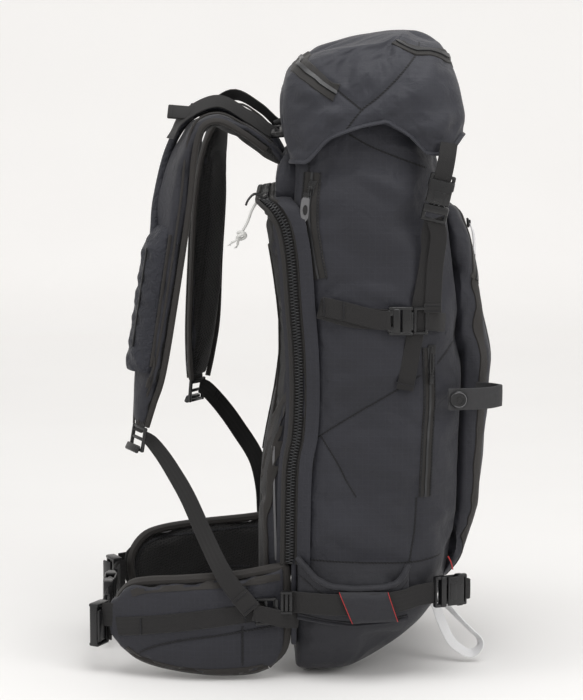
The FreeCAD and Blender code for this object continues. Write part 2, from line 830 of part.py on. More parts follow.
# ---------------------------------------------------------------- compression straps
strap_z = S["side_strap_height"]
hook_x = BACK + 0.655 * DEPTH
side_root_x = BACK + 34
outer_y = side_face + THICK + 1.2
bars = []
for side, sign in SIDES.items():
    ends = [
        Vector(side_root_x, sign * (outer_y + THICK / 2), strap_z + 6),
        Vector(hook_x - 17, sign * (outer_y + THICK / 2), strap_z + 1),
    ]
    web = strip_3d(ends, [Vector(0, 0, 1)] * 2, WEB, THICK)
    feature(f"side_strap_{side}", web)

    half_web = D["webbing_width"] / 2
    plate_high = D["webbing_width"] + 8
    hook = box(f"hook_plate_{side}", 30.0, 2.4, plate_high, (-16, 0, -1 * half_web - 4))
    hook = rounded(hook, 5, Vector(0, 1, 0))
    lip_high = D["webbing_width"] - 6
    lip = box(f"hook_lip_{side}", 2.2, 5.4, lip_high, (9.4, -5.2, -1 * half_web + 3))
    eye_high = D["webbing_width"] + 1
    eye = box(f"hook_eye_{side}", 5.0, 8.0, eye_high, (-12, -3, -1 * half_web - 0.5))
    whole = cut(f"side_hook_{side}", fuse(f"hook_{side}", [hook, lip]), [eye])
    face_out = Rotation() if sign > 0 else Rotation(Vector(1, 0, 0), 180)
    hook_y = outer_y + THICK + 3.1
    put(whole, (hook_x, sign * hook_y, strap_z), face_out)
    node(whole, f"side_hook_{side}")

    loop = doc.addObject("PartDesign::Body", f"side_bar_{side}")
    frame_half = half_web + 4
    opening = half_web + 0.5
    done = padded_sketch(
        loop,
        "XZ_Plane",
        [(0.0, 18.0, -1 * frame_half, frame_half), (3.0, 14.0, -1 * opening, opening)],
        3.0,
    )
    soften(loop, done, 1.2, Vector(0, 1, 0))
    bar_y = outer_y + 0.4 if sign > 0 else -outer_y - 0.4
    shift = 3.0 if sign > 0 else 0.0
    bars.append(put(loop, (hook_x + 5.4, bar_y + shift, strap_z)))
node(group("side_bars", bars), "side_bars")

# ---------------------------------------------------------------- lower straps, side pockets, lower buckles
pocket_x = BACK + 3
pocket_low = S["lower_strap_height"] - 27
pocket_in = HALF + GAP
for side, sign in SIDES.items():
    length, high, deep = (S[f"side_pocket_{k}"] for k in ("length", "height", "depth"))
    wall = S["sleeve_wall"]
    outside = Part.makeBox(length, deep, high, Vector(pocket_x, pocket_in, pocket_low))
    edges = [e for e in outside.Edges if abs(e.tangentAt(0).z) > 0.9]
    outer_edges = [e for e in edges if e.CenterOfMass.y > pocket_in + 1]
    outside = outside.makeFillet(6, outer_edges)
    inside = Part.makeBox(
        length - 2 * wall,
        deep - 2 * wall,
        high,
        Vector(pocket_x + wall, pocket_in + wall, pocket_low + wall),
    )
    edges = [e for e in inside.Edges if abs(e.tangentAt(0).z) > 0.9]
    outer_edges = [e for e in edges if e.CenterOfMass.y > pocket_in + wall + 1]
    pouch = outside.cut(inside.makeFillet(4.5, outer_edges))
    if sign < 0:
        pouch = pouch.mirror(Vector(), Vector(0, 1, 0))
    feature(f"side_pocket_{side}", pouch)

lower_z = S["lower_strap_height"]
corner_turn = math.radians(25)
corner_out = Vector(math.sin(corner_turn), math.cos(corner_turn), 0)
corner_along = Vector(math.cos(corner_turn), -math.sin(corner_turn), 0)
corner_z = lower_z + 14
corner_front = front_at(corner_z)
corner_centre = Vector(corner_front - 35, half_at(corner_z) - 35, corner_z)
buckle_foot = corner_centre + corner_out * (35 + 2.5)
buckle_axis = buckle_foot + corner_out * (S["buckle_thick"] / 2)
pocket_out = pocket_in + S["side_pocket_depth"]
lower_straps, lower_males = [], []
for side, sign in SIDES.items():
    flip = lambda p, s=sign: Vector(p.x, s * p.y, p.z)
    mid = buckle_axis - corner_along * 14
    points = [
        Vector(pocket_x + 6, pocket_out + 1.2, lower_z),
        Vector(pocket_x + S["side_pocket_length"] - 8, pocket_out + 1.2, lower_z + 5),
        mid - corner_along * 6 + corner_out * 1.0,
    ]
    lower_straps.append(
        strip_3d([flip(p) for p in points], [Vector(0, 0, 1)] * 3, WEB, THICK)
    )
    up = Vector(0, 0, 1)
    turn = axes(flip(corner_along), up, flip(corner_along).cross(up))
    male = buckle_prongs(f"lower_male_{side}", D["webbing_width"], D["buckle_thick"])
    at = flip(buckle_axis + corner_along * 14)
    lower_males.append(put(male, tuple(at), turn))
    female = buckle_socket(f"lower_female_{side}", D["webbing_width"], D["buckle_thick"], 7.5)
    node(put(female, tuple(at), turn), f"lower_buckle_female_{side}")
feature("lower_straps", Part.makeCompound(lower_straps))
node(group("lower_buckle_males", lower_males), "lower_buckle_males")

# ---------------------------------------------------------------- zips on the bag's left side
tape, tape_thick = S["zip_width"], S["zip_thick"]
zip_y = -(HALF + GAP + 0.5)


def side_zip(label, low, high):
    """A straight zip tape flat on the left side, from one end to the other."""
    ends = [Vector(x, zip_y - tape_thick / 2, z) for x, z in (low, high)]
    return feature(label, strip_3d(ends, [Vector(1, 0, 0)] * 2, tape, tape_thick))


def zip_slider(label, ends, drop):
    """A slider with its pull tab, at the upper end of a side zip."""
    low, high = Vector(ends[0][0], 0, ends[0][1]), Vector(ends[1][0], 0, ends[1][1])
    along = (low - high).normalize()
    across = Vector(0, -1, 0).cross(along)
    block = box(label + "_block", 13.0, 10.0, 4.0, (-6.5, -5, 0))
    block = rounded(block, 2.5, Vector(0, 0, 1))
    tab = box(label + "_tab", 30.0, 8.0, 2.2, (2, -4, 4))
    tab = rounded(tab, 3.5, Vector(0, 0, 1))
    whole = fuse(label, [block, tab])
    at = high + along * drop + Vector(0, zip_y - tape_thick - 0.4, 0)
    put(whole, tuple(at), axes(along, across * -1, Vector(0, -1, 0)))
    return node(whole, label)


upper_zip_ends = [(BACK + 26, strap_z + 33), (BACK + 13, HEIGHT - 58)]
pocket_zip_ends = [(BACK + 138, strap_z - 178), (BACK + 135, strap_z - 24)]
side_zip("upper_zip", *upper_zip_ends)
side_zip("side_zip", *pocket_zip_ends)
zip_slider("upper_zip_slider", upper_zip_ends, 8)
zip_slider("side_zip_slider", pocket_zip_ends, 8)

# ---------------------------------------------------------------- carry loop, stud and ski loop
loop_z = HEIGHT * 0.507
loop_reach = pocket_front(loop_z)
corner = Vector(front_at(loop_z) - 35, half_at(loop_z) - 35, 0)
loop_points = [
    (corner.x + 22, -corner.y - 31),
    (corner.x + 44, -corner.y - 20),
    (loop_reach + 7, -corner.y - 4),
    (loop_reach + 14, -corner.y + 5),
    (loop_reach + 9, -corner.y + 12),
    (loop_reach + 3, -corner.y + 15),
]
feature(
    "carry_loop",
    ribbon(
        loop_points,
        -1.1,
        1.1,
        lambda p: Vector(p.x, p.y, loop_z - S["front_loop_height"] / 2),
        Vector(0, 0, S["front_loop_height"]),
    ),
)
along = Vector(loop_points[1][0] - loop_points[0][0], loop_points[1][1] - loop_points[0][1], 0)
along.normalize()
stud_out = Vector(along.y, -along.x, 0)
stud = cylinder("badge_stud", D["badge_radius"], 2.0)
at = Vector(*loop_points[0], loop_z) + along * 11 + stud_out * 2.6
put(stud, tuple(at), Rotation(Vector(0, 0, 1), stud_out))
node(stud, "badge_stud")

ski_x = front_at(62) - 2
ski_points = [
    (ski_x + 5, 60),
    (ski_x + 14, 33),
    (ski_x + 30, 13),
    (ski_x + 48, 3.2),
    (ski_x + 59, 6),
    (ski_x + 57, 18),
    (ski_x + 40, 32),
    (ski_x + 24, 48),
    (ski_x + 14, 62),
]
feature(
    "ski_loop",
    ribbon(
        ski_points,
        -0.9,
        0.9,
        lambda p: Vector(p.x, -62, p.y),
        Vector(0, -S["ski_loop_width"], 0),
    ),
)

# ---------------------------------------------------------------- shoulder harness
hinge_z = HEIGHT - 19
# x and z from the shoulder hinge, how far from the middle, yaw, share of the width
STRAPS = {
    "left": [
        (-4, -27, 50, 0, 1.0),
        (-21, -9, 51, 0, 1.0),
        (-45, 8, 54, 0, 1.0),
        (-70, 19, 57, 0, 1.0),
        (-90, 11, 60, 8, 1.0),
        (-103, -17, 64, 20, 1.0),
        (-112, -64, 70, 30, 1.0),
        (-125, -150, 74, 30, 1.0),
        (-137, -229, 78, 30, 0.9),
        (-143, -262, 79, 30, 0.62),
        (-147, -286, 80, 30, 0.40),
    ],
    "right": [
        (-4, -27, 50, 0, 1.0),
        (-18, -3, 51, 0, 1.0),
        (-36, 14, 53, 0, 1.0),
        (-55, 22, 56, 0, 1.0),
        (-71, 11, 59, 10, 1.0),
        (-80, -19, 62, 20, 1.0),
        (-84, -70, 67, 30, 1.0),
        (-88, -135, 71, 30, 1.0),
        (-91, -200, 75, 30, 1.0),
        (-94, -238, 77, 30, 0.82),
        (-96, -262, 78, 30, 0.62),
    ],
}
hinge_x = BACK - 5


def strap_line(side):
    sign = SIDES[side]
    return [
        Vector(hinge_x + x, sign * y, hinge_z + z) for x, z, y, _, _ in STRAPS[side]
    ]


def strap_frame(side, i):
    """Across direction, up-the-strap direction and outward normal at a station."""
    sign, line = SIDES[side], strap_line(side)
    ahead = line[min(i + 1, len(line) - 1)] - line[max(i - 1, 0)]
    t = ahead.normalize()
    yaw = math.radians(STRAPS[side][i][3])
    u = Vector(math.sin(yaw), sign * math.cos(yaw), 0)
    u = (u - t * u.dot(t)).normalize()
    n = (t.cross(u) if sign < 0 else u.cross(t)).normalize()
    return u, t, n


def strap_pad(side):
    wires = []
    for i, p in enumerate(strap_line(side)):
        u, t, n = strap_frame(side, i)
        a = S["strap_width"] / 2 * STRAPS[side][i][4]
        b = S["strap_thick"] / 2
        bevel = b * 0.6
        corners = [
            (-a, -b + bevel), (-a + bevel, -b), (a - bevel, -b), (a, -b + bevel),
            (a, b - bevel), (a - bevel, b), (-a + bevel, b), (-a, b - bevel),
        ]
        corners.append(corners[0])
        wires.append(Part.makePolygon([p + u * c + n * d for c, d in corners]))
    return stacked(wires)


lower_webs = []
for side, sign in SIDES.items():
    line = strap_line(side)
    feature(f"shoulder_pad_{side}", strap_pad(side))

    # The load lifter runs from the crest of the pad back to its ladder lock.
    n = strap_frame(side, 3)[2]
    lift = S["strap_thick"] / 2 + 2.6
    top = line[3] + n * lift
    points = [
        line[4] + strap_frame(side, 4)[2] * lift,
        top + Vector(4, 0, 1),
        line[2] + strap_frame(side, 2)[2] * (lift + 2),
        line[1] + strap_frame(side, 1)[2] * (lift + 3),
    ]
    feature(
        f"lifter_strap_{side}", strip_3d(points, [Vector(0, 1, 0)] * 4, WEB * 0.8, THICK)
    )

    # Ladder lock on the pad's lower end, and the webbing from there to the pack's corner.
    u, t, n = strap_frame(side, len(line) - 1)
    lock = ladder_lock(f"strap_lock_{side}", D["webbing_width"], 24.0)
    at = line[-1] + t * 13.5 - n * 2.25
    put(lock, tuple(at), axes(t * -1, u, (t * -1).cross(u)))
    if (t * -1).cross(u).dot(n) < 0:
        put(lock, tuple(line[-1] + t * 13.5 + n * 2.25), axes(t * -1, u, (t * -1).cross(u)))
    node(lock, f"strap_lock_{side}")
    foot = Vector(BACK - 48, sign * (HALF - 18), S["hip_rise"] + 9)
    head = line[-1] + t * 26
    along = (foot - head).normalize()
    start = head + along * 9
    lower_webs.append(strip_3d([start, foot], [u, Vector(0.25, 0, 1)], WEB, THICK))
feature("lower_webbing", Part.makeCompound(lower_webs))

# The trigger sleeve lies on the left pad; its mouth is at the lower end.
line = strap_line("left")
u, t, n = strap_frame("left", 7)
run = (line[8] - line[6]).normalize()
u = (u - run * u.dot(run)).normalize()
n = run.cross(u).normalize()
sleeve_turn = axes(u, run * -1, n)
wall = D["sleeve_wall"]
sleeve_in = D["handle_width"] + 2 * D["play"]
sleeve_deep = D["handle_thick"] + 2 * D["play"]
sleeve_length = D["handle_length"] + 26
sleeve_box = box(
    "sleeve_outside",
    sleeve_in + 2 * wall,
    sleeve_length,
    sleeve_deep + 2 * wall,
    (-1 * sleeve_in / 2 - wall, 0, 0),
)
sleeve_room = box(
    "sleeve_inside", sleeve_in, sleeve_length, sleeve_deep, (-1 * sleeve_in / 2, -1 * wall - 1, wall)
)
sleeve = cut("trigger_sleeve", rounded(sleeve_box, 5, Vector(0, 1, 0)), [sleeve_room])
sleeve_at = line[8] - run * 6 + n * (S["strap_thick"] / 2 + GAP)
node(put(sleeve, tuple(sleeve_at), sleeve_turn), "trigger_sleeve")
handle = box(
    "handle_bar",
    D["handle_width"],
    D["handle_length"],
    D["handle_thick"],
    (-1 * D["handle_width"] / 2, 4.0, wall + D["play"]),
)
handle = rounded(handle, 3, Vector(0, 1, 0))
grip_wide = D["handle_width"] - 12
grip_corner = (-1 * grip_wide / 2, 14.0, wall)
grip_hole = box("handle_eye", grip_wide, 26.0, D["handle_thick"] + 4, grip_corner)
handle = cut("trigger_handle", handle, [grip_hole])
node(put(handle, tuple(sleeve_at), sleeve_turn), "trigger_handle")

cable_lift = S["strap_thick"] / 2 + S["cable_radius"] + 2.2
cable_side = -22
cable_line = [
    line[i] + strap_frame("left", i)[2] * cable_lift + strap_frame("left", i)[0] * cable_side
    for i in (2, 3, 4, 5, 6)
]
feature("trigger_cable", tube(cable_line, S["cable_radius"]))

# ---------------------------------------------------------------- hip belt
hip_hinge = Vector(BACK - 6, HALF - 12, 0)
reach = S["hip_reach"]
hip_line = [
    (hip_hinge.x - 1, hip_hinge.y),
    (hip_hinge.x - 0.36 * reach, hip_hinge.y + 7),
    (hip_hinge.x - 0.70 * reach, hip_hinge.y - 2),
    (hip_hinge.x - reach, hip_hinge.y - 26),
]
rise = S["hip_rise"]
hip_outline = [
    (hip_hinge.x + 2, 0.30 * rise),
    (hip_hinge.x + 2, rise),
    (hip_hinge.x - 0.26 * reach, 0.92 * rise),
    (hip_hinge.x - 0.68 * reach, 0.86 * rise),
    (hip_hinge.x - 0.88 * reach, 0.80 * rise),
    (hip_hinge.x - 1.02 * reach, 0.58 * rise),
    (hip_hinge.x - 1.02 * reach, 0.36 * rise),
    (hip_hinge.x - 0.92 * reach, 0.17 * rise),
    (hip_hinge.x - 0.70 * reach, 0.04 * rise),
    (hip_hinge.x - 0.48 * reach, 0.0),
    (hip_hinge.x - 0.24 * reach, 0.0),
    (hip_hinge.x - 0.06 * reach, 0.08 * rise),
]
lying = lambda p: Vector(p.x, p.y, 0)
belt_pivot = Vector(hip_hinge.x - reach - 9, hip_hinge.y - 38, rise * 0.40)
belt_half = S["belt_width"] / 2
lock_block_turn = math.radians(62)
for side, sign in SIDES.items():
    turn = lambda shape, s=sign: shape if s > 0 else shape.mirror(Vector(), Vector(0, 1, 0))
    up = Vector(0, 0, rise + 20)
    foam = S["hip_thick"] / 2
    slab = ribbon(hip_line, -foam, foam, lying, up)
    mask = prism(hip_outline, "y", 0, HALF + 60)
    feature(f"hip_pad_{side}", turn(slab.common(mask)))

    # Stabiliser webbing on the pad's outer face; the line's left side faces inwards.
    outside = (foam + 0.4, foam + 0.4 + THICK)
    web_slab = ribbon(hip_line, -outside[1], -outside[0], lying, up)
    web_mask = prism(
        [
            (hip_hinge.x - 0.12 * reach, 0.62 * rise - WEB / 2),
            (hip_hinge.x - 0.12 * reach, 0.62 * rise + WEB / 2),
            (hip_hinge.x - 0.97 * reach, 0.44 * rise + WEB / 2),
            (hip_hinge.x - 0.97 * reach, 0.44 * rise - WEB / 2),
        ],
        "y",
        0,
        HALF + 60,
    )
    feature(f"hip_webbing_{side}", turn(web_slab.common(web_mask)))

    slider = ladder_lock(f"hip_slider_{side}", D["webbing_width"], 22.0)
    start, nextp = Vector(*hip_line[0], 0), Vector(*hip_line[1], 0)
    along = (nextp - start).normalize()
    outward = Vector(along.y, -along.x, 0)
    outward = outward if outward.y > 0 else outward * -1
    at = start + along * 21 + outward * (outside[1] + 2.5) + Vector(0, 0, 0.605 * rise)
    flip = lambda p, s=sign: Vector(p.x, s * p.y, p.z)
    z_axis = flip(outward)
    x_axis = flip(along)
    put(slider, tuple(flip(at)), axes(x_axis, z_axis.cross(x_axis), z_axis))
    node(slider, f"hip_slider_{side}")

    # Adjuster block where the belt webbing leaves the pad's tip.
    block = box(
        f"belt_block_{side}",
        24.0,
        13.0,
        D["belt_width"] + 6,
        (-12, -6.5, -1 * D["belt_width"] / 2 - 3),
    )
    block = rounded(block, 4, Vector(0, 0, 1))
    slot_high = D["belt_width"] + 1
    slots = [
        box(f"belt_slot{i}_{side}", 4.0, 20.0, slot_high, (x, -10, -1 * slot_high / 2))
        for i, x in enumerate((-8, 3))
    ]
    block = cut(f"belt_lock_{side}", block, slots)
    block_at = Vector(hip_hinge.x - reach - 12, hip_hinge.y - 27, belt_pivot.z)
    lean = math.degrees(lock_block_turn) * (-1 if sign > 0 else 1)
    put(block, tuple(flip(block_at)), Rotation(Vector(0, 0, 1), lean))
    node(block, f"belt_lock_{side}")

# The belt's two halves meet at the middle: prongs from the left, socket on the right.
belt_x = belt_pivot.x
belt_thick, belt_room = 13.0, 9.6
across_right = axes(Vector(0, 1, 0), Vector(0, 0, 1), Vector(1, 0, 0))
prongs = buckle_prongs("belt_prongs", D["belt_width"], belt_thick, reach=14.0)
node(put(prongs, (belt_x, -4, belt_pivot.z), across_right), "belt_buckle_male")
socket = buckle_socket("belt_socket", D["belt_width"], belt_thick, belt_room, length=40.0, depth=26.0)
node(put(socket, (belt_x, -4, belt_pivot.z), across_right), "belt_buckle_female")
band_ends = {"left": (-belt_pivot.y + 5, -24.5), "right": (37.5, belt_pivot.y - 5)}
for side, (low, high) in band_ends.items():
    band = box(
        f"belt_band_{side}",
        D["webbing_thick"],
        high - low,
        D["belt_width"],
        (belt_x - THICK / 2, low, belt_pivot.z - belt_half),
    )
    node(band, f"belt_band_{side}")


# ---------------------------------------------------------------- zip pulls that hang free
def pull_tab(label, at, length, width, turn):
    """A pull: a flat tab with an eye at its upper end."""
    tab = box(label + "_tab", 2.4, width, length, (-1.2, -width / 2, -length + 3))
    tab = rounded(tab, width * 0.35, Vector(1, 0, 0))
    eye = box(label + "_eye", 6.0, width * 0.4, 4.0, (-3, -width * 0.2, -2.0))
    return node(put(cut(label, tab, [eye]), at, turn), label)


cord_at = (zip_top.x - 10, -zip_top.y + 20, zip_top.z + 2)
pull_tab("back_zip_pull", cord_at, 52.0, 7.0, Rotation(Vector(0, 1, 0), 28))
front_pull_z = HEIGHT * 0.80
pull_tab(
    "front_zip_pull",
    (pocket_front(front_pull_z) + 9, -40, front_pull_z),
    40.0,
    7.0,
    Rotation(Vector(0, 1, 0), -14),
)
lid_pull_z = HEIGHT + 38
pull_tab(
    "lid_zip_pull",
    (lid_front + 6, -44, lid_pull_z),
    36.0,
    7.0,
    Rotation(Vector(0, 1, 0), -8),
)

# ---------------------------------------------------------------- checks and files
doc.recompute()
os.makedirs("parts", exist_ok=True)
for old in os.listdir("parts"):
    os.remove(os.path.join("parts", old))
failed = [o.Label for o in doc.Objects if {"Invalid", "Error"} & set(o.State)]
if failed:
    raise ValueError(f"failed objects: {failed}")
labels = set()
for obj in nodes:
    shape = obj.Shape
    if shape.isNull() or not shape.isValid() or not shape.Solids:
        raise ValueError(f"{obj.Label}: bad shape")
    if obj.Label in labels:
        raise ValueError(f"{obj.Label} is used twice")
    labels.add(obj.Label)
    shape.exportStep(os.path.join("parts", obj.Label + ".step"))
print(len(nodes), "nodes")
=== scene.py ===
import json
import math

import bmesh
import bpy
import numpy as np
from mathutils import Matrix, Vector
from mathutils.bvhtree import BVHTree


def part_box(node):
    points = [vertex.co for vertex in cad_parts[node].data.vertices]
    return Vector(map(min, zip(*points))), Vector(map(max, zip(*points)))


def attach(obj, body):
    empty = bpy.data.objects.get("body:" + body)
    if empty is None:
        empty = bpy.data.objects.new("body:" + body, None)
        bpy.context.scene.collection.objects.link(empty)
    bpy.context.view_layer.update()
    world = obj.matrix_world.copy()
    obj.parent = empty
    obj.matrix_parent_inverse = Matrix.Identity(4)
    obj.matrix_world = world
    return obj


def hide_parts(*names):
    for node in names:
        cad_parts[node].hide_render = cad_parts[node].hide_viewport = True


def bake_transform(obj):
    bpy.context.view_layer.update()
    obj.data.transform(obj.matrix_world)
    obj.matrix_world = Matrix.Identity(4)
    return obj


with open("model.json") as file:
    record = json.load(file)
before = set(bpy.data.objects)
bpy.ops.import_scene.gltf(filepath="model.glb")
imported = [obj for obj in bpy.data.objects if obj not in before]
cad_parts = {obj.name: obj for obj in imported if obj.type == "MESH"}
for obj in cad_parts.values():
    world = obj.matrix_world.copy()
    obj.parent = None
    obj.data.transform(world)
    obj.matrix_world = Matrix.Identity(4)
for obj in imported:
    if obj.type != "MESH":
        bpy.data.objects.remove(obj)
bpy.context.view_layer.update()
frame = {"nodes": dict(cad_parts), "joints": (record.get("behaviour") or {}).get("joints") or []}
scene = bpy.context.scene
mm = 0.001
print("frame loaded:", len(frame["nodes"]), "parts")

# Camera: level with the top of the lid, a little over two metres to the wearer's left.
view = {"eye": (-0.031, -2.37664, 0.641), "target": (-0.031, 0, 0.30698), "lens": 119.83, "sensor": 36}


def setCamera():
    data = bpy.data.cameras.new("camera")
    data.lens = view["lens"]
    data.sensor_width = view["sensor"]
    camera = bpy.data.objects.new("camera", data)
    scene.collection.objects.link(camera)
    eye, target = Vector(view["eye"]), Vector(view["target"])
    camera.location = eye
    camera.rotation_euler = (target - eye).to_track_quat("-Z", "Y").to_euler()
    scene.camera = camera


setCamera()


# Small tools for places and curves.
def at(x, y, z):
    return Vector((x, y, z)) * mm


def boxOf(node):
    low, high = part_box(node)
    return Vector(low), Vector(high)


def centreOf(node):
    low, high = boxOf(node)
    return (low + high) / 2


def flow(rows, spacing):
    # evenly spaced rows along a smooth curve; the first three numbers of a row are its place
    rows = np.array([list(r) for r in rows], float)
    ends = np.vstack([2 * rows[0] - rows[1], rows, 2 * rows[-1] - rows[-2]])
    steps = np.linspace(0, 1, 14, endpoint=False)[:, None]
    fine = []
    for a, b, c, d in zip(ends, ends[1:], ends[2:], ends[3:]):
        bend = 2 * a - 5 * b + 4 * c - d
        fine.append(0.5 * (2 * b + (c - a) * steps + bend * steps**2 + (3 * b - a - 3 * c + d) * steps**3))
    fine = np.vstack(fine + [rows[-1:]])
    run = np.concatenate([[0], np.cumsum(np.linalg.norm(np.diff(fine[:, :3], axis=0), axis=1))])
    count = max(3, int(round(run[-1] / spacing)) + 1)
    marks = np.linspace(0, run[-1], count)
    return np.column_stack([np.interp(marks, run, fine[:, k]) for k in range(fine.shape[1])])


def corners(rows):
    # the same rows as straight runs with sharp corners kept
    out = []
    for a, b in zip(rows, rows[1:]):
        out += [a, tuple(np.array(a) * 0.97 + np.array(b) * 0.03), tuple(np.array(a) * 0.03 + np.array(b) * 0.97)]
    return out + [rows[-1]]


# Small tools for meshes.
def loft(bm, rings, closed=True, ends=True, material=0):
    # a skin through rings of places, with a UV map in metres: across, then along
    layer = bm.loops.layers.uv.verify()
    count = len(rings[0])
    if closed:
        row = bmesh.ops.create_circle(bm, segments=count, radius=1)["verts"]
        row.sort(key=lambda v: math.atan2(v.co.y, v.co.x))
    else:
        row = [bm.verts.new(p) for p in rings[0]]
        for a, b in zip(row, row[1:]):
            bm.edges.new((a, b))
    for v, p in zip(row, rings[0]):
        v.co = p
    rows = [row]
    pairs = [(i, (i + 1) % count) for i in range(count if closed else count - 1)]
    skin = []
    for ring in rings[1:]:
        edges = [bm.edges.get((row[a], row[b])) for a, b in pairs]
        made = bmesh.ops.extrude_edge_only(bm, edges=edges)["geom"]
        fresh = {v for v in made if isinstance(v, bmesh.types.BMVert)}
        skin += [f for f in made if isinstance(f, bmesh.types.BMFace)]
        row = [next(e.other_vert(v) for e in v.link_edges if e.other_vert(v) in fresh) for v in row]
        for v, p in zip(row, ring):
            v.co = p
        rows.append(row)
    around = np.array(rings[len(rings) // 2], float)
    wrap = np.vstack([around, around[:1]])
    across = np.concatenate([[0], np.cumsum(np.linalg.norm(np.diff(wrap, axis=0), axis=1))])
    middles = np.array([np.mean(np.array(r, float), axis=0) for r in rings])
    along = np.concatenate([[0], np.cumsum(np.linalg.norm(np.diff(middles, axis=0), axis=1))])
    where = {v: (i, j) for i, r in enumerate(rows) for j, v in enumerate(r)}
    for f in skin:
        f.material_index = material
        columns = [where[l.vert][1] for l in f.loops]
        turned = closed and count > 3 and max(columns) == count - 1 and min(columns) == 0
        for l in f.loops:
            i, j = where[l.vert]
            l[layer].uv = (across[count if turned and j == 0 else j], along[i])
    if ends and closed:
        for r in (rows[0], rows[-1]):
            edges = [bm.edges.get((r[a], r[b])) for a, b in pairs]
            for f in bmesh.ops.edgeloop_fill(bm, edges=edges)["faces"]:
                f.material_index = material
                skin.append(f)
    return skin


def band(bm, rows, width, thick, material=0, spacing=0.004, shape=None):
    # flat webbing: a row is a place and the direction across; shape(share) scales its width
    path = flow(rows, spacing)
    places = [Vector(r[:3]) for r in path]
    rings = []
    for i, p in enumerate(places):
        run = (places[min(i + 1, len(places) - 1)] - places[max(i - 1, 0)]).normalized()
        u = Vector(path[i][3:6])
        u = (u - run * u.dot(run)).normalized()
        n = run.cross(u)
        half = width / 2 * (shape(i / (len(places) - 1)) if shape else 1)
        ring = []
        for a, b in ((-1, 0), (-0.95, 0.8), (-0.4, 1), (0.4, 1), (0.95, 0.8),
                     (1, 0), (0.95, -0.8), (0.4, -1), (-0.4, -1), (-0.95, -0.8)):
            ring.append(p + u * (a * half) + n * (b * thick / 2))
        rings.append(ring)
    return loft(bm, rings, material=material)


def tube(bm, points, radius, material=0, spacing=0.003, sides=10, squash=1.0, shape=None):
    # a round or flattened cord through points
    path = [Vector(r) for r in flow(points, spacing)]
    side, rings = None, []
    for i, p in enumerate(path):
        run = (path[min(i + 1, len(path) - 1)] - path[max(i - 1, 0)]).normalized()
        if side is None:
            side = run.orthogonal().normalized()
        side = (side - run * side.dot(run)).normalized()
        other = run.cross(side)
        r = radius * (shape(i / (len(path) - 1)) if shape else 1)
        ring = []
        for k in range(sides):
            turn = 2 * math.pi * k / sides
            ring.append(p + side * (math.cos(turn) * r) + other * (math.sin(turn) * r * squash))
        rings.append(ring)
    return loft(bm, rings, material=material)


def block(bm, low, high, place, soften=0.6, material=0, steps=2):
    # a softened block between two corners in millimetres, then moved by place
    low, high = Vector(low) * mm, Vector(high) * mm
    size = high - low
    made = bmesh.ops.create_cube(bm, size=1)["verts"]
    bmesh.ops.scale(bm, vec=size, verts=made)
    bmesh.ops.translate(bm, vec=(low + high) / 2, verts=made)
    edges = list({e for v in made for e in v.link_edges})
    reach = min(soften * mm, min(size) * 0.45)
    done = bmesh.ops.bevel(
        bm, geom=edges, offset=reach, affect="EDGES", segments=steps, profile=0.5, material=-1
    )
    verts = set(done["verts"]) | {v for v in made if v.is_valid}
    faces = {f for v in verts for f in v.link_faces}
    bmesh.ops.transform(bm, matrix=place, verts=list(verts))
    for f in faces:
        f.material_index = material
    return faces


def frameOf(place, x, z):
    # a matrix at a place: x runs along the webbing and z stands off the surface
    x = Vector(x).normalized()
    z = Vector(z)
    z = (z - x * z.dot(x)).normalized()
    y = z.cross(x)
    turn = Matrix((x, y, z)).transposed().to_4x4()
    return Matrix.Translation(Vector(place)) @ turn


def finish(name, bm, materials, body=None, sharp=38, replaces=(), closed=True):
    if closed:
        bmesh.ops.recalc_face_normals(bm, faces=bm.faces)
    for f in bm.faces:
        f.smooth = True
    for e in bm.edges:
        e.smooth = e.calc_face_angle(0) < math.radians(sharp)
    mesh = bpy.data.meshes.new(name)
    bm.to_mesh(mesh)
    bm.free()
    for material in materials:
        mesh.materials.append(material)
    piece = bpy.data.objects.new(name, mesh)
    scene.collection.objects.link(piece)
    settleIn(piece, body, replaces)
    return piece


def settleIn(piece, body, replaces=()):
    if body:
        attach(piece, body)
    if replaces:
        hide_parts(*replaces)


def bake(piece):
    graph = bpy.context.evaluated_depsgraph_get()
    mesh = bpy.data.meshes.new_from_object(piece.evaluated_get(graph))
    piece.modifiers.clear()
    piece.data = mesh
    mesh.name = piece.name


def subdivide(piece, levels=1):
    divide = piece.modifiers.new("divide", "SUBSURF")
    divide.levels = divide.render_levels = levels
    bake(piece)


def numbersOf(mesh, kind="co"):
    values = np.empty(len(mesh.vertices) * 3, np.float32)
    source = mesh.vertices if kind == "co" else mesh.vertex_normals
    source.foreach_get("co" if kind == "co" else "vector", values)
    return values.reshape(-1, 3).astype(float)


def setPlaces(mesh, places):
    mesh.vertices.foreach_set("co", places.astype(np.float32).ravel())
    mesh.update()


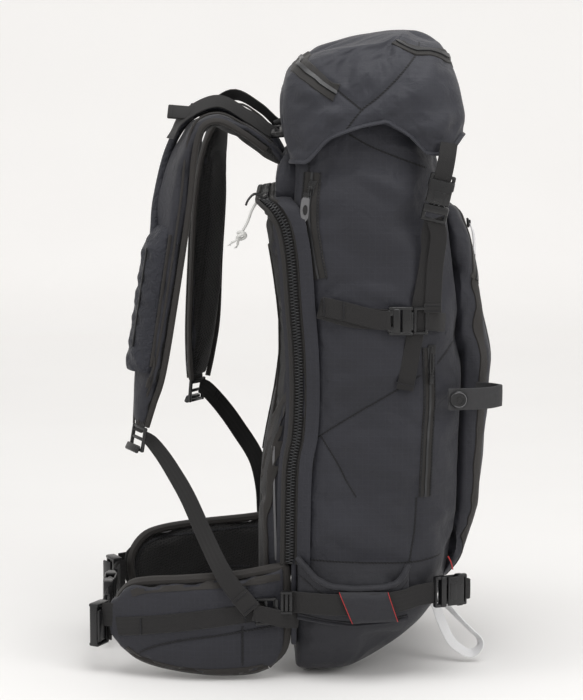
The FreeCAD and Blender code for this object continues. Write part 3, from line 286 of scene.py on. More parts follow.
def clothSettle(piece, hold, cap, pressure=4.0, shrink=0.0):
    # lets the cloth swell under its filling; hold is 1 where it is sewn down, 0 where it is free
    rest = numbersOf(piece.data)
    group = piece.vertex_groups.new(name="sewn")
    for i, weight in enumerate(hold):
        if weight > 0:
            group.add([i], float(weight), "REPLACE")
    cloth = piece.modifiers.new("cloth", "CLOTH")
    cloth.settings.quality = 5
    cloth.settings.mass = 0.3
    cloth.settings.vertex_group_mass = "sewn"
    cloth.settings.use_pressure = True
    cloth.settings.uniform_pressure_force = pressure
    cloth.settings.shrink_min = shrink
    cloth.settings.effector_weights.gravity = 0
    cloth.point_cache.frame_start = 1
    cloth.point_cache.frame_end = 20
    for step in range(1, 21):
        scene.frame_set(step)
    graph = bpy.context.evaluated_depsgraph_get()
    moved = numbersOf(piece.evaluated_get(graph).data) - rest
    piece.modifiers.clear()
    piece.vertex_groups.clear()
    scene.frame_set(1)
    length = np.linalg.norm(moved, axis=1, keepdims=True)
    moved *= np.minimum(1, cap / np.maximum(length, 1e-9))
    setPlaces(piece.data, rest + moved * (1 - np.array(hold, float))[:, None])
    print(piece.name, "settled, moved at most", round(float(np.minimum(length, cap).max()) * 1000, 1), "mm")


def nearLine(places, points):
    # distance from each 2D place to a line of 2D points, and how far along the line it is
    best = np.full(len(places), 9.0)
    share = np.zeros(len(places))
    points = np.array(points, float)
    runs = np.linalg.norm(np.diff(points, axis=0), axis=1)
    total, before = runs.sum(), 0.0
    for a, b, run in zip(points, points[1:], runs):
        t = np.clip(((places - a) @ (b - a)) / max(run * run, 1e-12), 0, 1)
        d = np.linalg.norm(places - (a + t[:, None] * (b - a)), axis=1)
        closer = d < best
        best = np.where(closer, d, best)
        share = np.where(closer, (before + t * run) / total, share)
        before += run
    return best, share


def press(piece, lines, look, plane=(0, 2)):
    # pushes cloth out (+) or in (-) along lines: (points, width, depth) in metres, seen along look
    mesh = piece.data
    places, normals = numbersOf(mesh), numbersOf(mesh, "normal")
    facing = np.clip(-(normals @ np.array(look)) * 2.2, 0, 1)
    flat = places[:, plane]
    shift = np.zeros(len(places))
    for points, width, depth in lines:
        line = flow([(a, b, 0) for a, b in points], 0.006)[:, :2]
        far, share = nearLine(flat, line)
        fade = np.sin(np.pi * np.clip(share, 0.02, 0.98)) ** 0.6
        shift += depth * np.exp(-((far / width) ** 2)) * fade
    setPlaces(mesh, places + normals * (shift * facing)[:, None])


def ripple(piece, size, height, seed, stretch=(1, 1, 1)):
    # soft uneven waves in the cloth, the same on each run
    mesh = piece.data
    places, normals = numbersOf(mesh), numbersOf(mesh, "normal")
    rng = np.random.default_rng(seed)
    total = np.zeros(len(places))
    for _ in range(14):
        way = rng.normal(size=3) * np.array(stretch)
        way *= 2 * np.pi / (size * rng.uniform(0.7, 1.8)) / np.linalg.norm(way)
        total += np.sin(places @ way + rng.uniform(0, 6.28))
    setPlaces(mesh, places + normals * (total / 14 * height)[:, None])


def clothMap(piece):
    # a UV map in metres, laid flat on each face's main direction
    mesh = piece.data
    for old in list(mesh.uv_layers):
        mesh.uv_layers.remove(old)
    layer = mesh.uv_layers.new(name="cloth")
    places = numbersOf(mesh)
    ids = np.empty(len(mesh.loops), np.int32)
    mesh.loops.foreach_get("vertex_index", ids)
    normals = np.empty(len(mesh.polygons) * 3, np.float32)
    mesh.polygons.foreach_get("normal", normals)
    totals = np.empty(len(mesh.polygons), np.int32)
    mesh.polygons.foreach_get("loop_total", totals)
    main = np.repeat(np.abs(normals.reshape(-1, 3)).argmax(axis=1), totals)
    p = places[ids]
    u = np.where(main == 0, p[:, 1], p[:, 0])
    v = np.where(main == 2, p[:, 1], p[:, 2])
    layer.data.foreach_set("uv", np.column_stack([u, v]).astype(np.float32).ravel())


def treeOf(piece):
    mesh = piece.data
    return BVHTree.FromPolygons([v.co for v in mesh.vertices], [p.vertices for p in mesh.polygons])


def onto(tree, place, look):
    hit, normal, _, _ = tree.ray_cast(place - look * 0.4, look)
    if hit is None:
        hit, normal, _, _ = tree.find_nearest(place)
    return hit, (-normal if normal.dot(look) > 0 else normal)


def drape(bm, tree, look, rows, width, thick, lift=0.0, material=0, spacing=0.005, shape=None):
    # a strip that lies on a surface, seen along look
    look = Vector(look)
    path = [Vector(r[:3]) for r in flow(rows, spacing)]
    rings = []
    for i, p in enumerate(path):
        run = path[min(i + 1, len(path) - 1)] - path[max(i - 1, 0)]
        u = run.cross(look).normalized()
        w = width * (shape(i / (len(path) - 1)) if shape else 1)
        over, under = [], []
        for a in (-0.5, -0.46, -0.2, 0.2, 0.46, 0.5):
            hit, n = onto(tree, p + u * (w * a), look)
            rim = 0.3 if abs(a) == 0.5 else 1.0
            over.append(hit + n * (lift + thick * rim))
            under.append(hit + n * (lift - 0.0008))
        rings.append(over + under[::-1])
    return loft(bm, rings, material=material)


# Materials. A group gives only masks and heights; each material has its own shader.
def newGroup(name, inputs, outputs):
    group = bpy.data.node_groups.new(name, "ShaderNodeTree")
    for label, kind, value in inputs:
        socket = group.interface.new_socket(label, in_out="INPUT", socket_type=kind)
        if value is not None:
            socket.default_value = value
    for label in outputs:
        group.interface.new_socket(label, in_out="OUTPUT", socket_type="NodeSocketFloat")
    return group, group.nodes.new("NodeGroupInput"), group.nodes.new("NodeGroupOutput")


def node(tree, kind, values=None, **settings):
    made = tree.nodes.new(kind)
    for key, value in settings.items():
        setattr(made, key, value)
    for socket, value in (values or {}).items():
        if isinstance(value, bpy.types.NodeSocket):
            tree.links.new(value, made.inputs[socket])
        else:
            made.inputs[socket].default_value = value
    return made


def calc(tree, operation, a, b=0.0, c=0.0):
    return node(tree, "ShaderNodeMath", {0: a, 1: b, 2: c}, operation=operation).outputs[0]


def fit(tree, value, a, b, c, d):
    values = {"Value": value, "From Min": a, "From Max": b, "To Min": c, "To Max": d}
    return node(tree, "ShaderNodeMapRange", values).outputs["Result"]


def makeRipstop():
    # reinforcing threads in a square grid, with the plain weave between them
    inputs = [("Place", "NodeSocketVector", None), ("Cell", "NodeSocketFloat", 0.0055)]
    group, enter, leave = newGroup("ripstopWeave", inputs, ["Grid", "Height"])
    cells = calc(group, "DIVIDE", 1.0, enter.outputs["Cell"])
    scaled = node(group, "ShaderNodeVectorMath", {0: enter.outputs["Place"]}, operation="SCALE")
    group.links.new(cells, scaled.inputs["Scale"])
    parts = node(group, "ShaderNodeSeparateXYZ", {0: scaled.outputs[0]})
    masks, threads = [], []
    for k in (0, 1):
        wave = calc(group, "PINGPONG", parts.outputs[k], 0.5)
        masks.append(fit(group, wave, 0.03, 0.10, 1, 0))
        threads.append(calc(group, "SINE", calc(group, "MULTIPLY", parts.outputs[k], 2 * math.pi * 11)))
    grid = calc(group, "MAXIMUM", masks[0], masks[1])
    weave = calc(group, "MULTIPLY", threads[0], threads[1])
    group.links.new(grid, leave.inputs["Grid"])
    group.links.new(calc(group, "MULTIPLY_ADD", weave, 0.25, grid), leave.inputs["Height"])
    return group


def makeRibs():
    # webbing: ribs across it, with a slight herringbone
    inputs = [("Place", "NodeSocketVector", None), ("Pitch", "NodeSocketFloat", 0.0016)]
    group, enter, leave = newGroup("webbingRibs", inputs, ["Height"])
    parts = node(group, "ShaderNodeSeparateXYZ", {0: enter.outputs["Place"]})
    slant = calc(group, "PINGPONG", parts.outputs[0], 0.0022)
    run = calc(group, "DIVIDE", calc(group, "ADD", parts.outputs[1], slant), enter.outputs["Pitch"])
    wave = calc(group, "SINE", calc(group, "MULTIPLY", run, 2 * math.pi))
    group.links.new(fit(group, wave, -1, 1, 0, 1), leave.inputs["Height"])
    return group


def makeLife():
    # handling: large soft patches, small crinkles and fine grain
    inputs = [("Place", "NodeSocketVector", None), ("Crinkle", "NodeSocketFloat", 60.0)]
    group, enter, leave = newGroup("clothLife", inputs, ["Shade", "Crinkles", "Grain"])
    patch = node(group, "ShaderNodeTexNoise", {"Vector": enter.outputs["Place"], "Scale": 9.0, "Detail": 3.0})
    folds = node(group, "ShaderNodeTexNoise", {
        "Vector": enter.outputs["Place"], "Scale": enter.outputs["Crinkle"], "Detail": 4.0, "Distortion": 1.2})
    grain = node(group, "ShaderNodeTexNoise", {"Vector": enter.outputs["Place"], "Scale": 1400.0, "Detail": 2.0})
    group.links.new(patch.outputs["Fac"], leave.inputs["Shade"])
    group.links.new(folds.outputs["Fac"], leave.inputs["Crinkles"])
    group.links.new(grain.outputs["Fac"], leave.inputs["Grain"])
    return group


def makeMesh():
    # spacer mesh: small slanted openings in rows
    inputs = [("Place", "NodeSocketVector", None), ("Pitch", "NodeSocketFloat", 0.0032)]
    group, enter, leave = newGroup("spacerMesh", inputs, ["Holes"])
    turned = node(group, "ShaderNodeMapping", {"Vector": enter.outputs["Place"], "Rotation": (0, 0, math.radians(38))})
    parts = node(group, "ShaderNodeSeparateXYZ", {0: turned.outputs[0]})
    waves = []
    for k, stretch in ((0, 1.0), (1, 0.55)):
        run = calc(group, "DIVIDE", parts.outputs[k], enter.outputs["Pitch"])
        waves.append(calc(group, "SINE", calc(group, "MULTIPLY", run, 2 * math.pi * stretch)))
    both = calc(group, "MULTIPLY", waves[0], waves[1])
    group.links.new(fit(group, both, 0.1, 0.6, 0, 1), leave.inputs["Holes"])
    return group


ripstopGroup, ribGroup, lifeGroup, meshGroup = makeRipstop(), makeRibs(), makeLife(), makeMesh()


def startMaterial(name, roughness, sheen=0.0, specular=0.5):
    material = bpy.data.materials.new(name)
    material.use_nodes = True
    tree = material.node_tree
    shader = tree.nodes["Principled BSDF"]
    shader.inputs["Roughness"].default_value = roughness
    shader.inputs["Sheen Weight"].default_value = sheen
    shader.inputs["Sheen Roughness"].default_value = 0.45
    shader.inputs["Specular IOR Level"].default_value = specular
    spots = node(tree, "ShaderNodeTexCoord")
    return material, tree, shader, spots


def useGroup(tree, group, values):
    made = node(tree, "ShaderNodeGroup", node_tree=group)
    for socket, value in values.items():
        if isinstance(value, bpy.types.NodeSocket):
            tree.links.new(value, made.inputs[socket])
        else:
            made.inputs[socket].default_value = value
    return made


def tint(tree, mask, dark, light):
    made = node(tree, "ShaderNodeMix", {"Factor": mask}, data_type="RGBA")
    made.inputs[6].default_value = (*dark, 1)
    made.inputs[7].default_value = (*light, 1)
    return made.outputs[2]


def scaleColour(colour, amount):
    return tuple(c * amount for c in colour)


def clothMaterial(name, colour, cell=0.0055, lift=0.35, roughness=0.62, crinkle=60.0, depth=0.35, sheen=0.08):
    material, tree, shader, spots = startMaterial(name, roughness, sheen, 0.35)
    weave = useGroup(tree, ripstopGroup, {"Place": spots.outputs["UV"], "Cell": cell})
    life = useGroup(tree, lifeGroup, {"Place": spots.outputs["Object"], "Crinkle": crinkle})
    shade = fit(tree, life.outputs["Shade"], 0.3, 0.7, 0.0, 0.7)
    lines = calc(tree, "MULTIPLY_ADD", weave.outputs["Grid"], lift, shade)
    base = tint(tree, lines, scaleColour(colour, 0.82), scaleColour(colour, 1.22))
    tree.links.new(base, shader.inputs["Base Color"])
    rough = fit(tree, life.outputs["Grain"], 0.3, 0.7, roughness - 0.08, roughness + 0.08)
    tree.links.new(rough, shader.inputs["Roughness"])
    fine = node(tree, "ShaderNodeBump", {
        "Height": weave.outputs["Height"], "Strength": 0.25, "Distance": 0.00025})
    broad = node(tree, "ShaderNodeBump", {
        "Height": life.outputs["Crinkles"], "Strength": depth, "Distance": 0.004, "Normal": fine.outputs[0]})
    tree.links.new(broad.outputs[0], shader.inputs["Normal"])
    return material


def webbingMaterial(name, colour, pitch=0.0016, roughness=0.7, depth=0.6):
    material, tree, shader, spots = startMaterial(name, roughness, 0.1, 0.35)
    ribs = useGroup(tree, ribGroup, {"Place": spots.outputs["UV"], "Pitch": pitch})
    life = useGroup(tree, lifeGroup, {"Place": spots.outputs["Object"], "Crinkle": 30.0})
    mixed = calc(tree, "MULTIPLY_ADD", ribs.outputs["Height"], 0.6, calc(tree, "MULTIPLY", life.outputs["Shade"], 0.5))
    base = tint(tree, mixed, scaleColour(colour, 0.72), scaleColour(colour, 1.25))
    tree.links.new(base, shader.inputs["Base Color"])
    bump = node(tree, "ShaderNodeBump", {"Height": ribs.outputs["Height"], "Strength": depth, "Distance": 0.0004})
    tree.links.new(bump.outputs[0], shader.inputs["Normal"])
    return material


def plasticMaterial(name, colour, roughness=0.32, grain=0.15, coat=0.0):
    material, tree, shader, spots = startMaterial(name, roughness, 0.0, 0.5)
    shader.inputs["Coat Weight"].default_value = coat
    life = useGroup(tree, lifeGroup, {"Place": spots.outputs["Object"], "Crinkle": 240.0})
    base = tint(tree, life.outputs["Shade"], scaleColour(colour, 0.85), scaleColour(colour, 1.2))
    tree.links.new(base, shader.inputs["Base Color"])
    rough = fit(tree, life.outputs["Crinkles"], 0.3, 0.7, roughness - 0.07, roughness + 0.09)
    tree.links.new(rough, shader.inputs["Roughness"])
    bump = node(tree, "ShaderNodeBump", {"Height": life.outputs["Grain"], "Strength": grain, "Distance": 0.0002})
    tree.links.new(bump.outputs[0], shader.inputs["Normal"])
    return material


def meshMaterial(name, colour, pitch=0.0032):
    material, tree, shader, spots = startMaterial(name, 0.8, 0.1, 0.3)
    holes = useGroup(tree, meshGroup, {"Place": spots.outputs["UV"], "Pitch": pitch})
    life = useGroup(tree, lifeGroup, {"Place": spots.outputs["Object"], "Crinkle": 50.0})
    rim = calc(tree, "MULTIPLY_ADD", life.outputs["Shade"], 0.4, calc(tree, "SUBTRACT", 0.7, holes.outputs["Holes"]))
    base = tint(tree, rim, scaleColour(colour, 0.35), scaleColour(colour, 1.15))
    tree.links.new(base, shader.inputs["Base Color"])
    bump = node(tree, "ShaderNodeBump", {
        "Height": holes.outputs["Holes"], "Strength": 0.7, "Distance": 0.0009}, invert=True)
    tree.links.new(bump.outputs[0], shader.inputs["Normal"])
    return material


def metalMaterial(name, colour, roughness):
    material, tree, shader, spots = startMaterial(name, roughness)
    shader.inputs["Metallic"].default_value = 1.0
    stretched = node(tree, "ShaderNodeMapping", {"Vector": spots.outputs["Object"], "Scale": (30, 30, 900)})
    turned = node(tree, "ShaderNodeTexNoise", {"Vector": stretched.outputs[0], "Scale": 1.0, "Detail": 3.0})
    base = tint(tree, turned.outputs["Fac"], scaleColour(colour, 0.85), colour)
    tree.links.new(base, shader.inputs["Base Color"])
    rough = fit(tree, turned.outputs["Fac"], 0.3, 0.7, roughness - 0.08, roughness + 0.12)
    tree.links.new(rough, shader.inputs["Roughness"])
    return material


packCloth = clothMaterial("packCloth", (0.0205, 0.0210, 0.0275))
lidCloth = clothMaterial("lidCloth", (0.027, 0.028, 0.036), lift=0.15, crinkle=45.0, depth=0.45)
pocketCloth = clothMaterial("pocketCloth", (0.0195, 0.0198, 0.0245), cell=0.003, lift=0.1, depth=0.3)
sleeveCloth = clothMaterial("sleeveCloth", (0.018, 0.019, 0.026), lift=0.1, crinkle=120.0, depth=0.9)
liningCloth = clothMaterial("liningCloth", (0.10, 0.10, 0.11), lift=0.3)
bindingCloth = webbingMaterial("bindingCloth", (0.024, 0.0215, 0.020), pitch=0.0011, depth=0.35)
zipTape = webbingMaterial("zipTape", (0.020, 0.0185, 0.0175), pitch=0.0012, depth=0.4)
webbing = webbingMaterial("webbing", (0.0135, 0.0128, 0.0130))
whiteWebbing = webbingMaterial("whiteWebbing", (0.78, 0.78, 0.79), pitch=0.0014)
paleCord = webbingMaterial("paleCord", (0.72, 0.72, 0.70), pitch=0.0012)
seamThread = webbingMaterial("seamThread", (0.008, 0.008, 0.010), pitch=0.0032, depth=0.8)
redEdge = webbingMaterial("redEdge", (0.42, 0.03, 0.03), pitch=0.0012)
spacerMesh = meshMaterial("spacerMesh", (0.017, 0.0165, 0.0165))
foamCover = meshMaterial("foamCover", (0.019, 0.0185, 0.019), pitch=0.0016)
blackPlastic = plasticMaterial("blackPlastic", (0.0085, 0.0085, 0.0092))
toothPlastic = plasticMaterial("toothPlastic", (0.018, 0.0185, 0.020), roughness=0.38)
greyRubber = plasticMaterial("greyRubber", (0.13, 0.13, 0.135), roughness=0.55, grain=0.3)
coatedRubber = plasticMaterial("coatedRubber", (0.026, 0.026, 0.028), roughness=0.62, grain=0.35)
redPlastic = plasticMaterial("redPlastic", (0.40, 0.025, 0.025), roughness=0.35)
sheetPlastic = plasticMaterial("sheetPlastic", (0.09, 0.09, 0.09), roughness=0.5)
gunMetal = metalMaterial("gunMetal", (0.16, 0.16, 0.17), 0.35)
aluminium = metalMaterial("aluminium", (0.72, 0.73, 0.75), 0.35)
steel = metalMaterial("steel", (0.6, 0.6, 0.6), 0.25)
balloonCloth = clothMaterial("balloonCloth", (0.55, 0.10, 0.06), lift=0.2, crinkle=90.0, depth=1.0)


def floorMaterial():
    material, tree, shader, spots = startMaterial("studioPaper", 0.9)
    grain = node(tree, "ShaderNodeTexNoise", {"Vector": spots.outputs["Object"], "Scale": 3.0})
    base = tint(tree, grain.outputs["Fac"], (0.83, 0.82, 0.81), (0.86, 0.855, 0.845))
    tree.links.new(base, shader.inputs["Base Color"])
    # painted light: the far paper glows with its own emission, more the further back it lies, in place of a lamp
    # lighting the backdrop
    parts = node(tree, "ShaderNodeSeparateXYZ", {0: spots.outputs["Object"]})
    glow = fit(tree, parts.outputs["Y"], 0.7, 3.4, 0.0, 0.24)
    shader.inputs["Emission Color"].default_value = (1.0, 0.985, 0.97, 1)
    tree.links.new(glow, shader.inputs["Emission Strength"])
    return material


studio = {"wide": 14.0, "near": -6.0, "wall": 4.6, "rise": 6.0, "bend": 1.6, "world": 0.645}


def setStudio():
    # paper that runs along the floor and bends up behind
    bm = bmesh.new()
    line = [(studio["near"], 0), (studio["wall"] - studio["bend"], 0)]
    for i in range(1, 9):
        turn = math.radians(90 * i / 8)
        line.append((
            studio["wall"] - studio["bend"] + studio["bend"] * math.sin(turn),
            studio["bend"] * (1 - math.cos(turn)),
        ))
    line.append((studio["wall"], studio["rise"]))
    half = studio["wide"] / 2
    rings = [[Vector((x, y, z - 0.004)) for y, z in line] for x in (-half, 0, half)]
    loft(bm, rings, closed=False)
    paper = finish("studioPaper", bm, [floorMaterial()], closed=False)
    world = bpy.data.worlds.new("studio")
    world.use_nodes = True
    world.node_tree.nodes["Background"].inputs[0].default_value = (1.0, 0.985, 0.97, 1)
    world.node_tree.nodes["Background"].inputs[1].default_value = studio["world"]
    scene.world = world
    lamps = [
        ("top", (0.2, -0.5, 2.4), 1.7, 30),
        ("front", (1.9, -1.6, 1.4), 1.2, 12),
        ("rear", (-2.1, -0.9, 1.6), 1.2, 11),
    ]
    for name, place, size, power in lamps:
        data = bpy.data.lights.new(name, "AREA")
        data.size = size
        data.energy = power
        lamp = bpy.data.objects.new(name, data)
        scene.collection.objects.link(lamp)
        lamp.location = place
        lamp.rotation_euler = (Vector((0, 0, 0.3)) - Vector(place)).to_track_quat("-Z", "Y").to_euler()
    scene.view_settings.view_transform = "Standard"


setStudio()
print("studio and materials ready")

sides = {"left": -1, "right": 1}
looks = {"left": Vector((0, 1, 0)), "right": Vector((0, -1, 0))}


# Bag body: a lofted shell, swollen between its seams.
bagLow, bagHigh = boxOf("bag_shell")
bag = {
    # share of the height, back edge (mm), front and half width as shares
    "rows": [
        (0.000, 2, 0.34, 0.86), (0.030, 1, 0.50, 0.93), (0.085, 0, 0.74, 0.975), (0.130, 0, 0.86, 0.985),
        (0.205, 0, 0.93, 0.985), (0.300, 0, 0.965, 0.985), (0.560, 0, 0.99, 0.985), (0.670, 0, 0.96, 0.985),
        (0.790, 0, 0.91, 0.98), (0.865, 0, 0.87, 0.97), (0.905, 1, 0.85, 0.93), (1.000, 3, 0.79, 0.87),
    ],
    "levels": 44,
    "rearCorner": 22,
    "frontCorner": 32,
    "swell": 0.006,
    "shrink": -0.03,
}
bagSpan = bagHigh - bagLow


def bagPoint(sx, sz, side="left"):
    # a place on the bag's side from shares of its depth and height
    return (bagLow.x + sx * bagSpan.x, sides[side] * bagHigh.y, bagLow.z + sz * bagSpan.z)


def bagAt(share, inset=0.0):
    rows = np.array(bag["rows"])
    back, front, half = (np.interp(share, rows[:, 0], rows[:, k]) for k in (1, 2, 3))
    return bagLow.x + back * mm + inset, bagLow.x + bagSpan.x * front - inset, bagHigh.y * half - inset


def roundedLoop(back, front, half, rear, fore, z, spans=(14, 12), bulge=(0.0, 0.0)):
    rear, fore = min(rear, (front - back) * 0.45), min(fore, (front - back) * 0.45)
    corner = [
        (front - fore, -half + fore, fore, -90), (front - fore, half - fore, fore, 0),
        (back + rear, half - rear, rear, 90), (back + rear, -half + rear, rear, 180),
    ]
    places = []
    for k, (cx, cy, r, start) in enumerate(corner):
        for i in range(5):
            turn = math.radians(start + 22.5 * i)
            places.append(Vector((cx + r * math.cos(turn), cy + r * math.sin(turn), z)))
        nx, ny, nr, ahead = corner[(k + 1) % 4]
        last = places[-1].copy()
        goal = Vector((nx + nr * math.cos(math.radians(ahead)), ny + nr * math.sin(math.radians(ahead)), z))
        out = Vector((math.cos(math.radians(ahead)), math.sin(math.radians(ahead)), 0))
        steps, rise = (spans[0], bulge[0]) if k % 2 == 0 else (spans[1], bulge[1])
        for i in range(1, steps):
            t = i / steps
            places.append(last.lerp(goal, t) + out * (rise * math.sin(math.pi * t)))
    return places


bagSeams = {
    "diagonal": [(0.13, 0.43), (0.16, 0.44), (0.37, 0.48), (0.60, 0.52), (0.76, 0.55)],
    "dart": [(0.17, 0.44), (0.27, 0.39), (0.32, 0.36), (0.38, 0.33)],
    "front": [(1.03, 0.63), (0.95, 0.60), (0.86, 0.57)],
    "base": [(0.05, 0.215), (0.38, 0.21), (0.70, 0.21), (0.92, 0.22)],
    "foot": [(0.74, 0.33), (0.73, 0.27), (0.70, 0.21)],
    "flap": [(0.33, 0.975), (0.45, 0.955), (0.57, 0.94), (0.79, 0.915)],
    "rear": [(0.10, 0.93), (0.07, 0.80), (0.115, 0.70), (0.13, 0.55), (0.125, 0.40), (0.07, 0.30), (0.05, 0.215)],
}
bagFolds = [
    # points in shares, width (mm), height (mm): out of the cloth or into it
    ([(0.30, 0.725), (0.50, 0.70), (0.66, 0.675)], 9, 2.2),
    ([(0.36, 0.70), (0.52, 0.68), (0.62, 0.665)], 7, -1.6),
    ([(0.17, 0.64), (0.23, 0.60), (0.30, 0.575)], 7, 2.4),
    ([(0.22, 0.645), (0.28, 0.61), (0.36, 0.59)], 6, -1.6),
    ([(0.37, 0.63), (0.55, 0.60), (0.66, 0.585)], 8, 1.9),
    ([(0.17, 0.53), (0.26, 0.49), (0.33, 0.47)], 7, 1.6),
    ([(0.28, 0.58), (0.40, 0.535), (0.52, 0.52)], 8, -1.3),
    ([(0.46, 0.41), (0.59, 0.39), (0.72, 0.365)], 9, 1.5),
    ([(0.59, 0.445), (0.69, 0.42), (0.76, 0.385)], 8, 1.8),
    ([(0.55, 0.47), (0.68, 0.455), (0.76, 0.43)], 7, -1.3),
    ([(0.17, 0.42), (0.22, 0.36), (0.24, 0.30)], 8, 1.6),
    ([(0.30, 0.42), (0.36, 0.37), (0.46, 0.31)], 8, -1.2),
    ([(0.53, 0.26), (0.64, 0.29), (0.74, 0.305)], 8, 1.3),
    ([(0.16, 0.86), (0.30, 0.84), (0.45, 0.80), (0.62, 0.785)], 14, 2.0),
    ([(0.32, 0.93), (0.45, 0.90), (0.60, 0.88), (0.74, 0.86)], 9, 2.6),
    ([(0.36, 0.90), (0.50, 0.87), (0.66, 0.845)], 8, -1.8),
    ([(0.24, 0.80), (0.40, 0.76), (0.60, 0.74)], 12, -1.2),
    ([(0.20, 0.25), (0.35, 0.27), (0.50, 0.26)], 9, 1.0),
    ([(0.86, 0.50), (0.92, 0.44), (0.94, 0.36)], 10, 1.6),
    ([(0.84, 0.30), (0.90, 0.27), (0.93, 0.23)], 8, -1.3),
]


def shares(points, side="left"):
    return [bagPoint(sx, sz, side) for sx, sz in points]


def makeBag():
    bm = bmesh.new()
    rings = []
    for grow in (0.35, 0.75):
        back, front, half = bagAt(0)
        middle = (back + front) / 2
        reach = (front - back) / 2 * grow
        rings.append(roundedLoop(middle - reach, middle + reach, half * grow, 0.012, 0.012, bagLow.z))
    for i in range(bag["levels"] + 1):
        share = i / bag["levels"]
        back, front, half = bagAt(share, 0.0015)
        grown = min(1, share * 8 + 0.45)
        fore, rear = bag["frontCorner"] * mm * grown, bag["rearCorner"] * mm * grown
        puff = 0.003 * math.sin(math.pi * min(1, share * 1.1)) ** 0.5
        rings.append(roundedLoop(back, front, half, rear, fore, bagLow.z + share * bagSpan.z, bulge=(0.002, puff)))
    back, front, half = bagAt(1.0, 0.004)
    rings.append(roundedLoop(back, front, half, 0.02, 0.03, bagHigh.z - 0.002))
    rings.append(roundedLoop(back, front, half, 0.02, 0.03, bagHigh.z - 0.03))
    loft(bm, rings, ends=False)
    bmesh.ops.holes_fill(bm, edges=[e for e in bm.edges if e.is_boundary and e.verts[0].co.z < 0.01], sides=0)
    piece = finish("bagBody", bm, [packCloth, pocketCloth], replaces=("bag_shell",), sharp=180)
    subdivide(piece)
    places = numbersOf(piece.data)
    hold = np.zeros(len(places))
    flat = places[:, (0, 2)]
    for line in bagSeams.values():
        points = [(p[0], p[2]) for p in shares(line)]
        far, _ = nearLine(flat, points)
        hold = np.maximum(hold, np.clip(1.1 - far / 0.010, 0, 1) * (np.abs(places[:, 1]) > 0.09))
    hold = np.maximum(hold, places[:, 2] > bagHigh.z - 0.022)
    hold = np.maximum(hold, places[:, 2] < 0.012)
    hold = np.maximum(hold, np.clip((bagLow.x + 0.010 - places[:, 0]) / 0.006, 0, 1))
    clothSettle(piece, hold, bag["swell"], pressure=3.0, shrink=bag["shrink"])
    subdivide(piece)
    for side, look in looks.items():
        lines = [([(p[0], p[2]) for p in shares(points)], width * mm, depth * mm) for points, width, depth in bagFolds]
        lines += [([(p[0], p[2]) for p in shares(points)], 0.0045, -0.0022) for points in bagSeams.values()]
        press(piece, lines, look)
    ripple(piece, 0.07, 0.0012, 3)
    ripple(piece, 0.025, 0.0004, 4, (1, 1, 2))
    clothMap(piece)
    for f in piece.data.polygons:
        if f.center.z < bagLow.z + 0.21 * bagSpan.z:
            f.material_index = 1
    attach(piece, "pack")
    return piece


bagBody = makeBag()
bagTree = treeOf(bagBody)


def makeLining():
    bm = bmesh.new()
    rings = []
    for i in range(13):
        share = 0.012 + 0.982 * i / 12
        back, front, half = bagAt(share, 0.0125)
        rings.append(roundedLoop(back, front, half, 0.02, 0.028, share * bagSpan.z, spans=(6, 5)))
    loft(bm, rings[::-1], ends=False)
    bmesh.ops.holes_fill(bm, edges=[e for e in bm.edges if e.is_boundary and e.verts[0].co.z < 0.05], sides=0)
    piece = finish("bagLining", bm, [liningCloth], body="pack", closed=False)
    clothMap(piece)


makeLining()


def makeBagSeams():
    bm = bmesh.new()
    for side, look in looks.items():
        for points in bagSeams.values():
            drape(bm, bagTree, look, shares(points, side), 0.0019, 0.0005, lift=-0.0002)
    finish("bagSeams", bm, [seamThread], body="pack")


makeBagSeams()
print("bag body ready")

# Lid: a domed cover with a waved hem, swollen between its seams.
lidLow, lidHigh = boxOf("lid_shell")
lid = {
    # height (mm), back, front and half width (mm)
    "rows": [
        (485, -30, 131, 139), (504, -32, 133, 139), (531, -34, 136, 138), (553, -36, 135, 136),
        (575, -36, 131, 132), (590, -34, 126, 126), (602, -27, 121, 118), (612, -4, 117, 107),
        (620, 22, 111, 93), (625, 48, 103, 76), (627, 62, 94, 56),
    ],
    # hem height above the lid's foot by the share of its depth
    "hem": [(-0.05, 0.13), (0.09, 0.14), (0.21, 0.29), (0.33, 0.34), (0.45, 0.38), (0.56, 0.40),
            (0.68, 0.32), (0.80, 0.19), (0.92, 0.19), (1.00, 0.30), (1.05, 0.32)],
    "frontHem": 0.31,
    "tab": 0.19,
    "levels": 20,
    "swell": 0.006,
    "shrink": -0.05,
}
lidSpan = Vector((lidHigh.x - lidLow.x, lidHigh.y, lidHigh.z - lidLow.z))


def lidAt(z, inset=0.0):
    rows = np.array(lid["rows"]) * mm
    back, front, half = (np.interp(z, rows[:, 0], rows[:, k]) for k in (1, 2, 3))
    return back + inset, front - inset, half - inset


def lidRound(index, z):
    # one place of the lid's outline at a height in millimetres
    return roundedLoop(*lidAt(z * mm), 0.026, 0.036, z * mm, spans=(18, 14))[index]


def lidPoint(sx, sz, side="left"):
    return (lidLow.x + sx * lidSpan.x, sides[side] * lidSpan.y, lidLow.z + sz * lidSpan.z)


def hemAt(place):
    # the hem is lowest at the buckle tabs and at the back corners
    share = (place.x - lidLow.x) / lidSpan.x
    table = np.array(lid["hem"])
    hem = np.interp(share, table[:, 0], table[:, 1])
    if share > 0.9:
        across = min(1, max(0, (0.128 - abs(place.y)) / 0.03))
        hem = hem + (lid["frontHem"] - hem) * across
    return lidLow.z + hem * lidSpan.z


